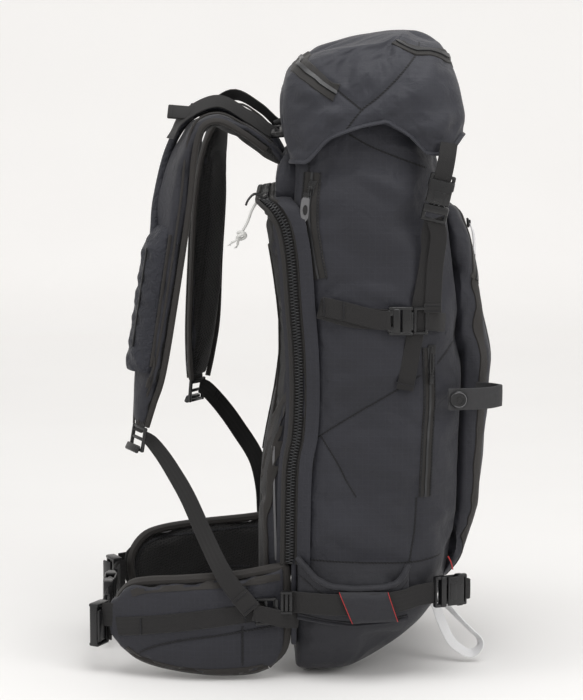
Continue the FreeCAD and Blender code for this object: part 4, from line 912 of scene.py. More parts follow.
def lidRing(t, inset=0.0):
    # t is 0 at the hem and 1 where the crown closes
    crown = lid["rows"][-1][0] * mm - inset
    flat = roundedLoop(*lidAt(0.54, inset), 0.026, 0.036, 0.54, spans=(18, 14))
    ring = []
    for place in flat:
        foot = hemAt(place)
        z = foot + (crown - foot) * t
        back, front, half = lidAt(z, inset)
        ring.append((place, z, back, front, half))
    wide = [roundedLoop(b, f, h, 0.026, 0.036, z, spans=(18, 14))[i] for i, (_, z, b, f, h) in enumerate(ring)]
    return [Vector((p.x, p.y, row[1])) for p, row in zip(wide, ring)]


lidSeams = {
    "topRear": [(0.03, 0.86), (0.15, 0.74), (0.28, 0.62), (0.41, 0.50)],
    "topFront": [(0.76, 0.93), (0.73, 0.85), (0.62, 0.70), (0.51, 0.58), (0.41, 0.49), (0.31, 0.345)],
}
lidFolds = [
    ([(0.14, 0.26), (0.18, 0.40), (0.24, 0.46), (0.34, 0.49)], 8, 2.6),
    ([(0.20, 0.30), (0.26, 0.40), (0.33, 0.43)], 6, -2.2),
    ([(0.36, 0.42), (0.48, 0.47), (0.68, 0.56), (0.80, 0.66)], 9, 2.6),
    ([(0.40, 0.40), (0.52, 0.43), (0.64, 0.49), (0.76, 0.57)], 7, -2.2),
    ([(0.56, 0.44), (0.70, 0.37), (0.86, 0.40), (0.96, 0.48)], 8, 2.4),
    ([(0.60, 0.40), (0.72, 0.32), (0.82, 0.26)], 6, -1.8),
    ([(0.62, 0.52), (0.78, 0.50), (0.92, 0.56)], 9, -1.8),
    ([(0.66, 0.62), (0.80, 0.70), (0.90, 0.72)], 9, 1.8),
    ([(0.06, 0.56), (0.12, 0.62), (0.20, 0.58)], 8, 1.8),
    ([(0.04, 0.40), (0.10, 0.46), (0.15, 0.55)], 7, -1.8),
    ([(0.32, 0.74), (0.45, 0.70), (0.58, 0.74)], 12, 1.6),
    ([(0.28, 0.86), (0.46, 0.82), (0.62, 0.86)], 12, -1.3),
    ([(0.84, 0.22), (0.86, 0.34), (0.90, 0.50)], 7, 1.8),
    ([(0.94, 0.30), (0.96, 0.44), (0.94, 0.60)], 7, -1.6),
]


def makeLid():
    bm = bmesh.new()
    rings = []
    back, front, half = lidAt(lidLow.z + 0.02, 0.006)
    tuck = [Vector((p.x * 0.97 + 0.0015, p.y * 0.965, p.z + 0.016)) for p in lidRing(0)]
    rings.append(tuck)
    rings.append([Vector((p.x * 0.985 + 0.0007, p.y * 0.985, p.z + 0.001)) for p in lidRing(0)])
    for i in range(lid["levels"] + 1):
        t = i / lid["levels"]
        rings.append(lidRing(t**0.92))
    top = rings[-1]
    middle = sum(top, Vector()) / len(top)
    for grow in (0.72, 0.42, 0.16):
        rings.append([middle + (p - middle) * grow + Vector((0, 0, 0.001 * (1 - grow))) for p in top])
    loft(bm, rings, ends=False)
    rim = [e for e in bm.edges if e.is_boundary and e.verts[0].co.z > lidHigh.z - 0.01]
    bmesh.ops.holes_fill(bm, edges=rim, sides=0)
    piece = finish("lidCover", bm, [lidCloth], sharp=180, closed=False)
    subdivide(piece)
    places = numbersOf(piece.data)
    flat = places[:, (0, 2)]
    hold = np.zeros(len(places))
    for line in lidSeams.values():
        points = [(lidPoint(*p)[0], lidPoint(*p)[2]) for p in line]
        far, _ = nearLine(flat, points)
        hold = np.maximum(hold, np.clip(1.1 - far / 0.010, 0, 1) * (np.abs(places[:, 1]) > 0.05))
    hems = np.array([hemAt(Vector(p)) for p in places])
    hold = np.maximum(hold, np.clip(1.2 - (places[:, 2] - hems) / 0.012, 0, 1))
    clothSettle(piece, hold, lid["swell"], pressure=2.5, shrink=lid["shrink"])
    subdivide(piece)
    for side, look in looks.items():
        lines = []
        for points, width, depth in lidFolds:
            lines.append(([(lidPoint(*p)[0], lidPoint(*p)[2]) for p in points], width * mm, depth * mm))
        for points in lidSeams.values():
            lines.append(([(lidPoint(*p)[0], lidPoint(*p)[2]) for p in points], 0.004, -0.0020))
        press(piece, lines, look)
    ripple(piece, 0.055, 0.0016, 11)
    ripple(piece, 0.022, 0.0005, 12)
    clothMap(piece)
    settleIn(piece, None, ("lid_shell",))
    return piece


lidCover = makeLid()
lidTree = treeOf(lidCover)


def lidLine(points, side="left"):
    return [lidPoint(sx, sz, side) for sx, sz in points]


def makeLidLining():
    bm = bmesh.new()
    rings = [[Vector((p.x, p.y, p.z + 0.004 * (1 - t))) for p in lidRing(t, 0.006)] for t in np.linspace(0, 1, 9)]
    top = rings[-1]
    middle = sum(top, Vector()) / len(top)
    rings += [[middle + (p - middle) * grow for p in top] for grow in (0.6, 0.15)]
    loft(bm, rings, ends=False)
    rim = [e for e in bm.edges if e.is_boundary and e.verts[0].co.z > lidHigh.z - 0.02]
    bmesh.ops.holes_fill(bm, edges=rim, sides=0)
    bmesh.ops.reverse_faces(bm, faces=bm.faces)
    piece = finish("lidLining", bm, [liningCloth], closed=False)
    clothMap(piece)
    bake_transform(piece)


makeLidLining()

lidTrim = {"rearBand": 20, "frontBand": 17, "hemBand": 4.5, "tabWidth": 24}


def makeLidTrim():
    # seams, hem and the dark bands of the two zips
    bm = bmesh.new()
    for side, look in looks.items():
        for points in lidSeams.values():
            drape(bm, lidTree, look, lidLine(points, side), 0.0019, 0.0005, lift=-0.0002)
    finish("lidSeams", bm, [seamThread], body="lid")

    bm = bmesh.new()
    ring = lidRing(0)
    edge = [p + Vector((0, 0, 0.0035)) for p in ring] + [ring[0] + Vector((0, 0, 0.0035))]
    tube(bm, edge, 0.0026, squash=0.5, spacing=0.005)
    hem = finish("lidHem", bm, [lidCloth])
    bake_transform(hem)

    # rear zip band: over the top edge, from one side to the other, with its zip in the middle
    bm = bmesh.new()
    fall = [575, 578, 582, 588, 594, 599, 602, 604]
    steps = list(zip(range(37, 45), fall)) + [(i, 605) for i in range(45, 62)] + list(zip(range(62, 70), fall[::-1]))
    line = [tuple(lidRound(i, z)) for i, z in steps]
    crossWise(bm, lidTree, line, lidTrim["rearBand"] * mm, 0.0012, 0)
    crossWise(bm, lidTree, line, 0.0045, 0.0026, 1)
    finish("lidRearZip", bm, [zipTape, toothPlastic], body="lid")

    bm = bmesh.new()
    fall = [621, 618, 615, 612, 609, 607]
    steps = list(zip([79, 0, 1, 2, 3, 4], fall)) + [(i, 605) for i in range(5, 22)]
    steps += list(zip([22, 23, 24, 25, 26, 27], fall[::-1]))
    line = [tuple(lidRound(i, z)) for i, z in steps]
    crossWise(bm, lidTree, line, lidTrim["frontBand"] * mm, 0.0012, 0)
    crossWise(bm, lidTree, line, 0.0045, 0.0026, 1)
    finish("lidFrontZip", bm, [zipTape, toothPlastic], body="lid")


def crossWise(bm, tree, line, width, thick, material=0):
    # a strip laid on a surface by the nearest places, for lines that run round the object
    path = [Vector(r[:3]) for r in flow(line, 0.006)]
    hits = [tree.find_nearest(p)[:2] for p in path]
    rings = []
    for i, (p, n) in enumerate(hits):
        run = hits[min(i + 1, len(hits) - 1)][0] - hits[max(i - 1, 0)][0]
        u = run.cross(n).normalized()
        over, under = [], []
        for a in (-0.5, -0.46, -0.2, 0.2, 0.46, 0.5):
            spot, normal, _, _ = tree.find_nearest(p + u * (width * a))
            rim = 0.3 if abs(a) == 0.5 else 1.0
            over.append(spot + normal * (thick * rim))
            under.append(spot - normal * 0.0008)
        rings.append(over + under[::-1])
    return loft(bm, rings, material=material)


makeLidTrim()
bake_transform(lidCover)
print("lid ready")


# Padded pieces start from the closed solids of the frame, remeshed and swollen.
def padFrom(node, name, materials, voxel=0.005, thin=0.0015, cap=0.006, pressure=4.0, shrink=0.0, hold=None):
    bm = bmesh.new()
    bm.from_mesh(frame["nodes"][node].data)
    bmesh.ops.remove_doubles(bm, verts=bm.verts, dist=1e-5)
    piece = finish(name, bm, materials, closed=False, sharp=180)
    remesh = piece.modifiers.new("remesh", "REMESH")
    remesh.mode = "VOXEL"
    remesh.voxel_size = voxel
    bake(piece)
    smooth = piece.modifiers.new("smooth", "SMOOTH")
    smooth.iterations = 4
    smooth.factor = 0.5
    bake(piece)
    places = numbersOf(piece.data)
    setPlaces(piece.data, places - numbersOf(piece.data, "normal") * thin)
    held = hold(numbersOf(piece.data), numbersOf(piece.data, "normal")) if hold else np.zeros(len(places))
    clothSettle(piece, held, cap, pressure, shrink)
    subdivide(piece)
    for p in piece.data.polygons:
        p.use_smooth = True
    piece.data.materials.clear()
    for material in materials:
        piece.data.materials.append(material)
    return piece


def paintFaces(piece, chosen):
    # chosen(centre, normal) gives the number of the face's material
    for p in piece.data.polygons:
        p.material_index = chosen(p.center, p.normal)


# Tool pocket on the front.
pocketLow, pocketHigh = boxOf("front_pocket")


def pocketOutline(side, inset=0.0):
    # the pocket's edge on the bag, as seen from the front, from its foot to its top
    shape = [(0.02, 0.86), (0.10, 0.93), (0.25, 0.97), (0.45, 0.98), (0.65, 0.96), (0.82, 0.90), (0.93, 0.80), (0.99, 0.62)]
    half, rise = pocketHigh.y, pocketHigh.z - pocketLow.z
    return [(0.2, sides[side] * (half * w - inset), pocketLow.z + h * rise) for h, w in shape]


def makeToolPocket():
    def hold(places, normals):
        return np.clip((bagHigh.x * 0.96 - places[:, 0]) / 0.02, 0, 1) * 0.6

    piece = padFrom("front_pocket", "toolPocket", [packCloth], cap=0.006, pressure=3.0, shrink=-0.03, hold=hold)
    front = Vector((-1, 0, 0))
    lines = []
    for sign in (-1, 1):
        for low, high, depth in ((0.15, 0.42, 2.2), (0.35, 0.62, -2.2), (0.55, 0.85, 2.0)):
            rise = pocketHigh.z - pocketLow.z
            lines.append(([
                (sign * 0.085, pocketLow.z + low * rise), (sign * 0.05, pocketLow.z + (low + high) / 2 * rise),
                (sign * 0.02, pocketLow.z + high * rise)], 0.011, depth * mm))
    press(piece, lines, front, plane=(1, 2))
    ripple(piece, 0.06, 0.0018, 21)
    ripple(piece, 0.02, 0.0004, 22)
    clothMap(piece)
    settleIn(piece, "pack", ("front_pocket",))
    tree = treeOf(piece)
    bm = bmesh.new()
    for side in sides:
        drape(bm, tree, front, pocketOutline(side, 0.011), 0.008, 0.0012, material=0, spacing=0.006)
        drape(bm, tree, front, pocketOutline(side, 0.030), 0.0019, 0.0006, material=1, spacing=0.006)
    rise = pocketHigh.z - pocketLow.z
    arch = []
    for share in np.linspace(-1, 1, 17):
        arch.append((0.2, share * pocketHigh.y * 0.80, pocketLow.z + rise * (0.93 - 0.13 * abs(share) ** 2.5)))
    drape(bm, tree, front, arch, 0.016, 0.0012, material=0)
    drape(bm, tree, front, arch, 0.0045, 0.0026, material=2)
    finish("toolPocketTrim", bm, [bindingCloth, seamThread, toothPlastic], body="pack")
    return piece, tree


toolPocket, pocketTree = makeToolPocket()

# Back panel with its channels and piping.
panelLow, panelHigh = boxOf("back_panel")


def makeBackPanel():
    def hold(places, normals):
        return np.clip((places[:, 0] - panelHigh.x + 0.006) / 0.004, 0, 1)

    piece = padFrom("back_panel", "backPanelPad", [foamCover, packCloth], cap=0.005, pressure=3.0, hold=hold)
    toBack = Vector((1, 0, 0))
    rise = panelHigh.z - panelLow.z
    half = panelHigh.y
    lines = []
    for y in (-0.16, 0.16):
        lines.append(([(y * half, panelLow.z + 0.03 * rise), (y * half, panelLow.z + 0.97 * rise)], 0.008, -0.006))
    for sign in (-1, 1):
        for h in (0.30, 0.52, 0.74):
            lines.append(([
                (sign * 0.16 * half, panelLow.z + h * rise), (sign * 0.6 * half, panelLow.z + (h + 0.02) * rise),
                (sign * 0.97 * half, panelLow.z + (h + 0.05) * rise)], 0.006, -0.0045))
    press(piece, lines, toBack, plane=(1, 2))
    clothMap(piece)
    edge = half * 0.90
    paintFaces(piece, lambda c, n: 1 if abs(n.y) > 0.6 or c.x > panelHigh.x - 0.004 else 0)
    settleIn(piece, "back_panel", ("back_panel",))
    tree = treeOf(piece)
    bm = bmesh.new()
    for sign in (-1, 1):
        outer = [(-0.2, sign * (half - 0.006 - 0.012 * max(0, h - 0.8)), panelLow.z + h * rise)
                 for h in np.linspace(0.05, 0.93, 15)]
        drape(bm, tree, toBack, outer, 0.004, 0.0016, material=0)
        side = Vector((0, -sign, 0))
        line = [(panelHigh.x - 0.012 - 0.006 * math.sin(math.pi * h), sign * 0.3, panelLow.z + h * rise)
                for h in np.linspace(0.20, 0.46, 7)]
        drape(bm, tree, side, line, 0.0022, 0.0014, material=1)
    finish("backPanelPiping", bm, [bindingCloth, greyRubber], body="back_panel")


makeBackPanel()
print("tool pocket and back panel ready")

# Shoulder pads: foam under cloth, mesh on the wearer's side, bound edges.
harness = {
    "foam": 14, "width": 62,
    # from the shoulder joint: x, z, how far from the middle, yaw in degrees, share of the width
    "left": [
        (-4, -27, 50, 0, 1.0), (-21, -9, 51, 0, 1.0), (-45, 8, 54, 0, 1.0), (-70, 19, 57, 0, 1.0),
        (-90, 11, 60, 8, 1.0), (-103, -17, 64, 20, 1.0), (-112, -64, 70, 30, 1.0), (-125, -150, 74, 30, 1.0),
        (-137, -229, 78, 30, 0.9), (-143, -262, 79, 30, 0.62), (-147, -286, 80, 30, 0.40),
    ],
    "right": [
        (-4, -27, 50, 0, 1.0), (-18, -3, 51, 0, 1.0), (-36, 14, 53, 0, 1.0), (-55, 22, 56, 0, 1.0),
        (-71, 11, 59, 10, 1.0), (-80, -19, 62, 20, 1.0), (-84, -70, 67, 30, 1.0), (-88, -135, 71, 30, 1.0),
        (-91, -200, 75, 30, 1.0), (-94, -238, 77, 30, 0.82), (-96, -262, 78, 30, 0.62),
    ],
}
jointAt = {j["name"]: Vector(j["pos_m"]) for j in frame["joints"] if "pos_m" in j}


def strapStations(side):
    # place, across, run and outward direction along a shoulder pad, with its half width
    sign = sides[side]
    joint = jointAt[f"shoulder_{side}_hinge"]
    places = [Vector((joint.x + x * mm, sign * y * mm, joint.z + z * mm)) for x, z, y, _, _ in harness[side]]
    stations = []
    for i, (p, row) in enumerate(zip(places, harness[side])):
        run = (places[min(i + 1, len(places) - 1)] - places[max(i - 1, 0)]).normalized()
        yaw = math.radians(row[3])
        u = Vector((math.sin(yaw), sign * math.cos(yaw), 0))
        u = (u - run * u.dot(run)).normalized()
        n = run.cross(u) if sign < 0 else u.cross(run)
        stations.append((p, u, run, n.normalized(), harness["width"] / 2 * row[4] * mm))
    return stations


def makeShoulderPad(side):
    node = f"shoulder_pad_{side}"
    stations = strapStations(side)
    piece = padFrom(node, f"shoulderPad.{side}", [packCloth, spacerMesh], voxel=0.005, cap=0.005, pressure=4.0)
    centres = np.array([s[0] for s in stations])
    outward = np.array([s[3] for s in stations])

    def chosen(centre, normal):
        k = np.linalg.norm(centres - np.array(centre), axis=1).argmin()
        return 0 if normal.dot(Vector(outward[k])) > -0.25 else 1

    paintFaces(piece, chosen)
    ripple(piece, 0.035, 0.0010, 31)
    clothMap(piece)
    body = f"shoulder_{side}"
    settleIn(piece, body, (node,))
    bm = bmesh.new()
    foam = harness["foam"] / 2 * mm
    for edge in (-1, 1):
        for level, radius in ((-0.35, 3.4), (0.75, 1.3)):
            inset = 0.003 if level < 0 else 0.008
            line = [p + u * (edge * (half - inset)) + n * (foam * level) for p, u, _, n, half in stations[1:]]
            tube(bm, line, radius * mm, squash=0.8, spacing=0.005, sides=8)
    finish(f"shoulderBinding.{side}", bm, [bindingCloth], body=body)
    return treeOf(piece)


padTrees = {side: makeShoulderPad(side) for side in sides}


def makeLifter(side):
    # load lifter: from the pad's crest through its box loop to a ladder lock at the pack
    stations = strapStations(side)
    sign = sides[side]
    body = f"shoulder_{side}"
    bm = bmesh.new()
    wide = Vector((0.1, 0.72, -sign * 0.62))
    flat = Vector((0, 1, 0))
    lift = (harness["foam"] / 2 + 5) * mm
    crest = stations[4][0] + stations[4][3] * (lift + 0.003)
    rows = [
        (*(stations[5][0] + stations[5][3] * lift + Vector((-0.002, 0, 0.012))), *wide),
        (*crest, *wide),
        (*(stations[3][0] + stations[3][3] * (lift + 0.004)), *wide),
        (*(stations[2][0] + stations[2][3] * (lift + 0.001)), *wide),
        (*(stations[1][0] + stations[1][3] * (lift + 0.004) + Vector((-0.004, 0, 0.001))), *wide),
        (stations[1][0].x + 0.016, stations[1][0].y, stations[1][0].z + 0.014, *flat),
    ]
    band(bm, rows, 0.018, 0.0017, material=0)
    # the tail of the webbing folded into a box loop that stands off the crest
    p = stations[4][0] + stations[4][3] * (lift + 0.004)
    tab = frameOf(p + at(-4, 0, 2), at(-100, 0, 8), at(0, sign * 78, 62))
    block(bm, (-13, -8, -1.6), (13, 8, 1.6), tab, 1.2)
    block(bm, (8, -7.4, 1.2), (9, 7.4, 2.0), tab, 0.2)
    block(bm, (-9, -7.4, 1.2), (-8, 7.4, 2.0), tab, 0.2)
    end = Vector(rows[-1][:3])
    place = frameOf(end, Vector(rows[-1][:3]) - Vector(rows[-2][:3]), (-0.4, 0.25 * sign, 1))
    for y in (-13, 10):
        block(bm, (-12, y, -3), (12, y + 3, 3), place, 1.2, 1)
    for x in (-12, -3, 7):
        block(bm, (x, -12, -2.6), (x + 5, 12, 2.6), place, 1.4, 1)
    tail = [(*(end + at(5, 0, -3)), *flat), (*(end + at(9, 0, -14)), *wide), (*(end + at(6, 0, -30)), *wide)]
    band(bm, tail, 0.017, 0.0016, material=0)
    finish(f"lifterStrap.{side}", bm, [webbing, blackPlastic], body=body,
           replaces=(f"lifter_strap_{side}",))


for side in sides:
    makeLifter(side)


def ladderParts(bm, place, width, length, thick=3.2, material=0, bars=3):
    # two rails and rounded bars, as webbing threads through them
    half = width / 2
    for y in (-half - 3.6, half + 0.4):
        block(bm, (-length / 2, y, -thick / 2), (length / 2, y + 3.2, thick / 2), place, 1.1, material)
    for k in range(bars):
        x = -length / 2 + (length - 3.4) * k / (bars - 1)
        block(bm, (x, -half - 1, -thick / 2 + 0.3), (x + 3.4, half + 1, thick / 2 - 0.3), place, 1.2, material)


def makeStrapLock(side):
    stations = strapStations(side)
    p, u, run, n, half = stations[-1]
    middle = centreOf(f"strap_lock_{side}")
    bm = bmesh.new()
    place = frameOf(middle, run, n)
    ladderParts(bm, place, 21, 25, 3.6)
    block(bm, (7, -12, -1), (15, 12, 3.5), place @ Matrix.Rotation(math.radians(-18), 4, "Y"), 1.5)
    finish(f"strapLock.{side}", bm, [blackPlastic], body=f"shoulder_{side}",
           replaces=(f"strap_lock_{side}",))
    bm = bmesh.new()
    rows = [(*(p - run * 0.012 + n * 0.002), *u), (*(p + run * 0.004), *u), (*(middle - run * 0.007 + n * 0.003), *u),
            (*(middle - run * 0.009 - n * 0.003), *u), (*(p + run * 0.002 - n * 0.003), *u)]
    band(bm, rows, 0.0195, 0.0016)
    finish(f"strapLockLoop.{side}", bm, [webbing], body=f"shoulder_{side}")


for side in sides:
    makeStrapLock(side)
print("shoulder pads ready")

# Trigger pocket on the left pad: gathered cloth over the handle, with its zip.
triggerPocket = {"reach": 74, "wide": 18.5, "deep": 17.5, "gather": 0.07}


def makeTriggerPocket():
    stations = strapStations("left")
    run = (stations[8][0] - stations[6][0]).normalized()
    u = (stations[7][1] - run * stations[7][1].dot(run)).normalized()
    n = run.cross(u).normalized()
    reach, wide, deep = (triggerPocket[k] * mm for k in ("reach", "wide", "deep"))
    middle = stations[8][0] - run * 0.070 + n * 0.006
    bm = bmesh.new()
    rings = []
    # the outer cloth from its closed top to the mouth, then the lining back up round the handle
    for t, inset in [(i / 44, 0) for i in range(45)] + [(1 - i / 44, 0.0016) for i in range(35)]:
        slope = min(1, (t / 0.16) ** 0.6, 0.86 + 3 * (1 - t))
        half = wide * (0.72 + 0.28 * slope) - inset
        rise = deep * (0.10 + 0.90 * slope) - inset
        centre = middle + run * (reach * (2 * t - 1)) + n * inset
        ring = []
        for k in range(20):
            turn = math.pi * k / 19
            fold = math.sin(t * 44 + 5 * turn) + 0.6 * math.sin(t * 71 - 3 * turn)
            gather = 1 + triggerPocket["gather"] * fold * math.sin(turn)
            c, s = math.cos(turn), math.sin(turn)
            side = math.copysign(abs(c) ** 0.75, c)
            ring.append(centre + u * (side * half) + n * (s ** 0.6 * rise * gather))
        for k in range(1, 5):
            ring.append(centre + u * (half * (k / 2.5 - 1)) - n * 0.0012)
        rings.append(ring)
    loft(bm, rings)
    piece = finish("triggerPocket", bm, [sleeveCloth], sharp=180)
    subdivide(piece, 1)
    ripple(piece, 0.014, 0.0010, 41, (2.2, 2.2, 0.5))
    clothMap(piece)
    settleIn(piece, "shoulder_left", ("trigger_sleeve",))
    bm = bmesh.new()
    marks = np.linspace(0.06, 0.95, 9)
    along = [middle + run * (reach * (2 * t - 1)) for t in marks]
    tube(bm, [p - u * (wide * 1.02) + n * 0.003 for p in along], 0.0019, squash=0.8, sides=8)
    tube(bm, [p + u * (wide * 1.02) + n * 0.003 for p in along], 0.0019, squash=0.8, sides=8)
    tube(bm, [p + u * 0.003 + n * (deep + 0.0008) for p in along[1:-1]], 0.0013, squash=0.7, sides=8, material=1)
    finish("triggerPocketSeams", bm, [bindingCloth, toothPlastic], body="shoulder_left")
    # brown hanging pull of its zip
    bm = bmesh.new()
    start = middle + run * (reach * 0.72) + u * wide + n * 0.005
    tube(bm, [start, start + at(3, 0, -6), start + at(2, -1, -16), start + at(-2, -1, -26)], 0.0011, sides=8)
    tube(bm, [start + at(-2, -1, -25), start + at(-4, -1, -34)], 0.0021, sides=8, squash=0.7)
    finish("triggerPocketPull", bm, [bindingCloth], body="shoulder_left")


makeTriggerPocket()


# Hip wings: cloth outside, mesh inside, bound edge, stabiliser webbing.
hip = {"thick": 14, "reach": 176, "rise": 112}


def hipLine(side):
    # the wing's middle line seen from above, from the pack to its tip
    joint = jointAt[f"hip_{side}_hinge"]
    sign, reach = sides[side], hip["reach"] * mm
    rows = [(-0.001, 0), (-0.36 * reach, 0.007), (-0.70 * reach, -0.002), (-reach, -0.026)]
    return [Vector((joint.x + x, sign * (abs(joint.y) + y), 0)) for x, y in rows]


def hipAt(side, share, z, out=0.0):
    # a place on the wing: share of its length, height in mm, distance out of its middle line
    path = flow([tuple(p) for p in hipLine(side)], 0.004)
    k = share * (len(path) - 1)
    i = min(int(k), len(path) - 2)
    p = Vector(path[i]).lerp(Vector(path[i + 1]), k - i)
    run = (Vector(path[i + 1]) - Vector(path[i])).normalized()
    n = Vector((run.y, -run.x, 0))
    n = n if n.y * sides[side] > 0 else -n
    return p + Vector((0, 0, z * mm)) + n * (out * mm), run, n


hipOutline = [
    # share of the length and height in mm, round the wing from the pack's end
    (0.10, 10), (0.00, 34), (0.0, 104), (0.04, 108), (0.26, 102), (0.55, 97), (0.76, 93), (0.88, 86), (0.955, 68),
    (0.960, 46), (0.925, 29), (0.82, 15.5), (0.64, 8.5), (0.40, 4.5), (0.20, 5.0), (0.10, 10),
]


def makeHipWing(side):
    node = f"hip_pad_{side}"
    outward = Vector((0, sides[side], 0))

    def hold(places, normals):
        return np.clip((places[:, 0] + 0.050) / 0.01, 0, 1) * 0.8

    piece = padFrom(node, f"hipWing.{side}", [packCloth, spacerMesh], cap=0.005, pressure=4.0, shrink=-0.02, hold=hold)
    paintFaces(piece, lambda c, n: 0 if n.dot(outward) > -0.15 else 1)
    look = -outward
    joint = jointAt[f"hip_{side}_hinge"]

    def seen(points):
        return [(hipAt(side, s, z)[0].x, z * mm) for s, z in points]

    curved = [(0.86, 15), (0.77, 26), (0.62, 35), (0.44, 41), (0.22, 47), (0.06, 51)]
    short = [(0.235, 52), (0.235, 12)]
    upper = [(0.215, 100), (0.20, 78)]
    press(piece, [
        (seen(curved), 0.005, -0.0022), (seen(short), 0.0045, -0.0018), (seen(upper), 0.004, -0.0016),
        (seen([(0.80, 84), (0.5, 86), (0.3, 88)]), 0.010, 0.0016), (seen([(0.7, 20), (0.5, 24), (0.3, 26)]), 0.012, 0.0014),
        (seen([(0.30, 60), (0.34, 76), (0.30, 92)]), 0.006, -0.0010),
    ], look)
    lumbar = [(0.62, 34), (0.48, 44), (0.34, 49), (0.22, 50)]
    press(piece, [(seen(lumbar), 0.006, -0.0028), (seen([(0.55, 20), (0.40, 26), (0.26, 28)]), 0.014, 0.003)], outward)
    ripple(piece, 0.05, 0.0010, 51)
    clothMap(piece)
    body = f"hip_{side}"
    settleIn(piece, body, (node,))
    tree = treeOf(piece)
    bm = bmesh.new()
    edge = [tuple(hipAt(side, s, z)[0]) for s, z in hipOutline]
    tube(bm, edge, 0.0052, squash=0.8, spacing=0.005, material=0, sides=8)
    for points in (curved, short, upper):
        drape(bm, tree, look, [tuple(hipAt(side, s, z)[0]) for s, z in points], 0.0020, 0.0006, material=1)
    topBand = [(0.03, 100), (0.26, 96), (0.55, 91.5), (0.76, 87), (0.86, 81)]
    drape(bm, tree, look, [tuple(hipAt(side, s, z)[0]) for s, z in topBand], 0.007, 0.0008, material=0)
    lowBand = [(0.12, 9), (0.22, 6.5), (0.42, 5), (0.62, 7.5), (0.80, 14), (0.90, 24)]
    drape(bm, tree, look, [tuple(hipAt(side, s, z)[0]) for s, z in lowBand], 0.0075, 0.0008, material=0)
    drape(bm, tree, outward, [tuple(hipAt(side, s, z)[0]) for s, z in lumbar], 0.0022, 0.0008, material=1)
    inner = [(0.03, 97), (0.26, 93), (0.55, 88), (0.76, 84), (0.87, 77), (0.92, 62), (0.93, 46), (0.88, 26)]
    drape(bm, tree, outward, [tuple(hipAt(side, s, z)[0]) for s, z in inner], 0.0022, 0.0008, material=1)
    finish(f"hipBinding.{side}", bm, [bindingCloth, seamThread], body=body)

    # stabiliser webbing with its ladder lock, then the belt's adjuster at the tip
    bm = bmesh.new()
    wide = Vector((0, 0, 1))
    rows = [hipAt(side, share, z)[0] for share, z in ((0.10, 68), (0.30, 63.5), (0.55, 56.5), (0.80, 50), (0.95, 46))]
    drape(bm, tree, look, rows, 0.0185, 0.0018)
    rows = [(*hipAt(side, s, z, out)[0], *wide) for s, z, out in ((0.84, 58, 9), (0.92, 57, 10), (1.02, 56, 9.5))]
    band(bm, rows, 0.024, 0.0015)
    for share, z in ((0.22, 65.5), (0.80, 50)):
        rows = [hipAt(side, share, z + rise)[0] for rise in (8.5, 0, -8.5)]
        drape(bm, tree, look, rows, 0.0018, 0.0026, material=1)
    finish(f"hipWebbing.{side}", bm, [webbing, seamThread], body=body,
           replaces=(f"hip_webbing_{side}",))
    bm = bmesh.new()
    middle = centreOf(f"hip_slider_{side}")
    _, run, n = hipAt(side, 0.13, 67)
    place = frameOf(middle, run, n)
    ladderParts(bm, place, 20, 21, 4.2)
    block(bm, (-12.5, -12.6, -0.6), (-8.4, 12.6, 3.4), place, 1.4)
    finish(f"hipLock.{side}", bm, [blackPlastic], body=body, replaces=(f"hip_slider_{side}",))

    bm = bmesh.new()
    low, high = boxOf(f"belt_lock_{side}")
    middle = (low + high) / 2
    lean = math.radians(62) * -sides[side]
    run = Vector((math.cos(lean), math.sin(lean), 0))
    place = frameOf(middle, run, Vector((run.y, -run.x, 0)) * (1 if run.y * -1 > 0 else 1))
    tall = 22
    for y in (-tall, tall - 4):
        block(bm, (-11, y, -5.5), (11, y + 4, 5.5), place, 1.8)
    for x, thick in ((-11, 4.5), (-3.5, 3.5), (6, 5.5)):
        block(bm, (x, -tall + 1, -thick), (x + 4.6, tall - 1, thick), place, 1.6)
    block(bm, (-13, -tall + 6, 3.5), (2, tall - 6, 6.4), place @ Matrix.Rotation(math.radians(9), 4, "Y"), 1.4)
    finish(f"beltLock.{side}", bm, [blackPlastic], body=body, replaces=(f"belt_lock_{side}",))
    return tree


hipTrees = {side: makeHipWing(side) for side in sides}


def makeBelt():
    # belt webbing, doubled where it turns back through the adjusters
    pivot = {side: jointAt[f"belt_{side}_hinge"] for side in sides}
    wide = Vector((0, 0, 1))
    z = pivot["left"].z
    for side, node in (("left", "belt_band_left"), ("right", "belt_band_right")):
        sign = sides[side]
        low, high = boxOf(node)
        inner = min(abs(low.y), abs(high.y)) * (1 if low.y * high.y > 0 else 0)
        bm = bmesh.new()
        p = pivot[side]
        rows = [(p.x + 0.009, sign * 0.098, z, *wide), (p.x + 0.002, sign * 0.090, z, *wide),
                (p.x - 0.0005, sign * 0.078, z, *wide), (p.x, sign * (inner + 0.004), z, *wide)]
        band(bm, rows, 0.0375, 0.0017)
        rows = [(p.x + 0.0045, sign * 0.080, z, *wide), (p.x + 0.0035, sign * 0.066, z, *wide),
                (p.x + 0.0035, sign * 0.055, z, *wide)]
        band(bm, rows, 0.0375, 0.0016)
        block(bm, (-1, -18.5, -2.3), (1, 18.5, 2.3), frameOf((p.x + 0.002, sign * 0.058, z), (0, 1, 0), (1, 0, 0)), 0.4, 1)
        finish(f"beltWebbing.{side}", bm, [webbing, seamThread], body=f"belt_{side}", replaces=(node,))


makeBelt()


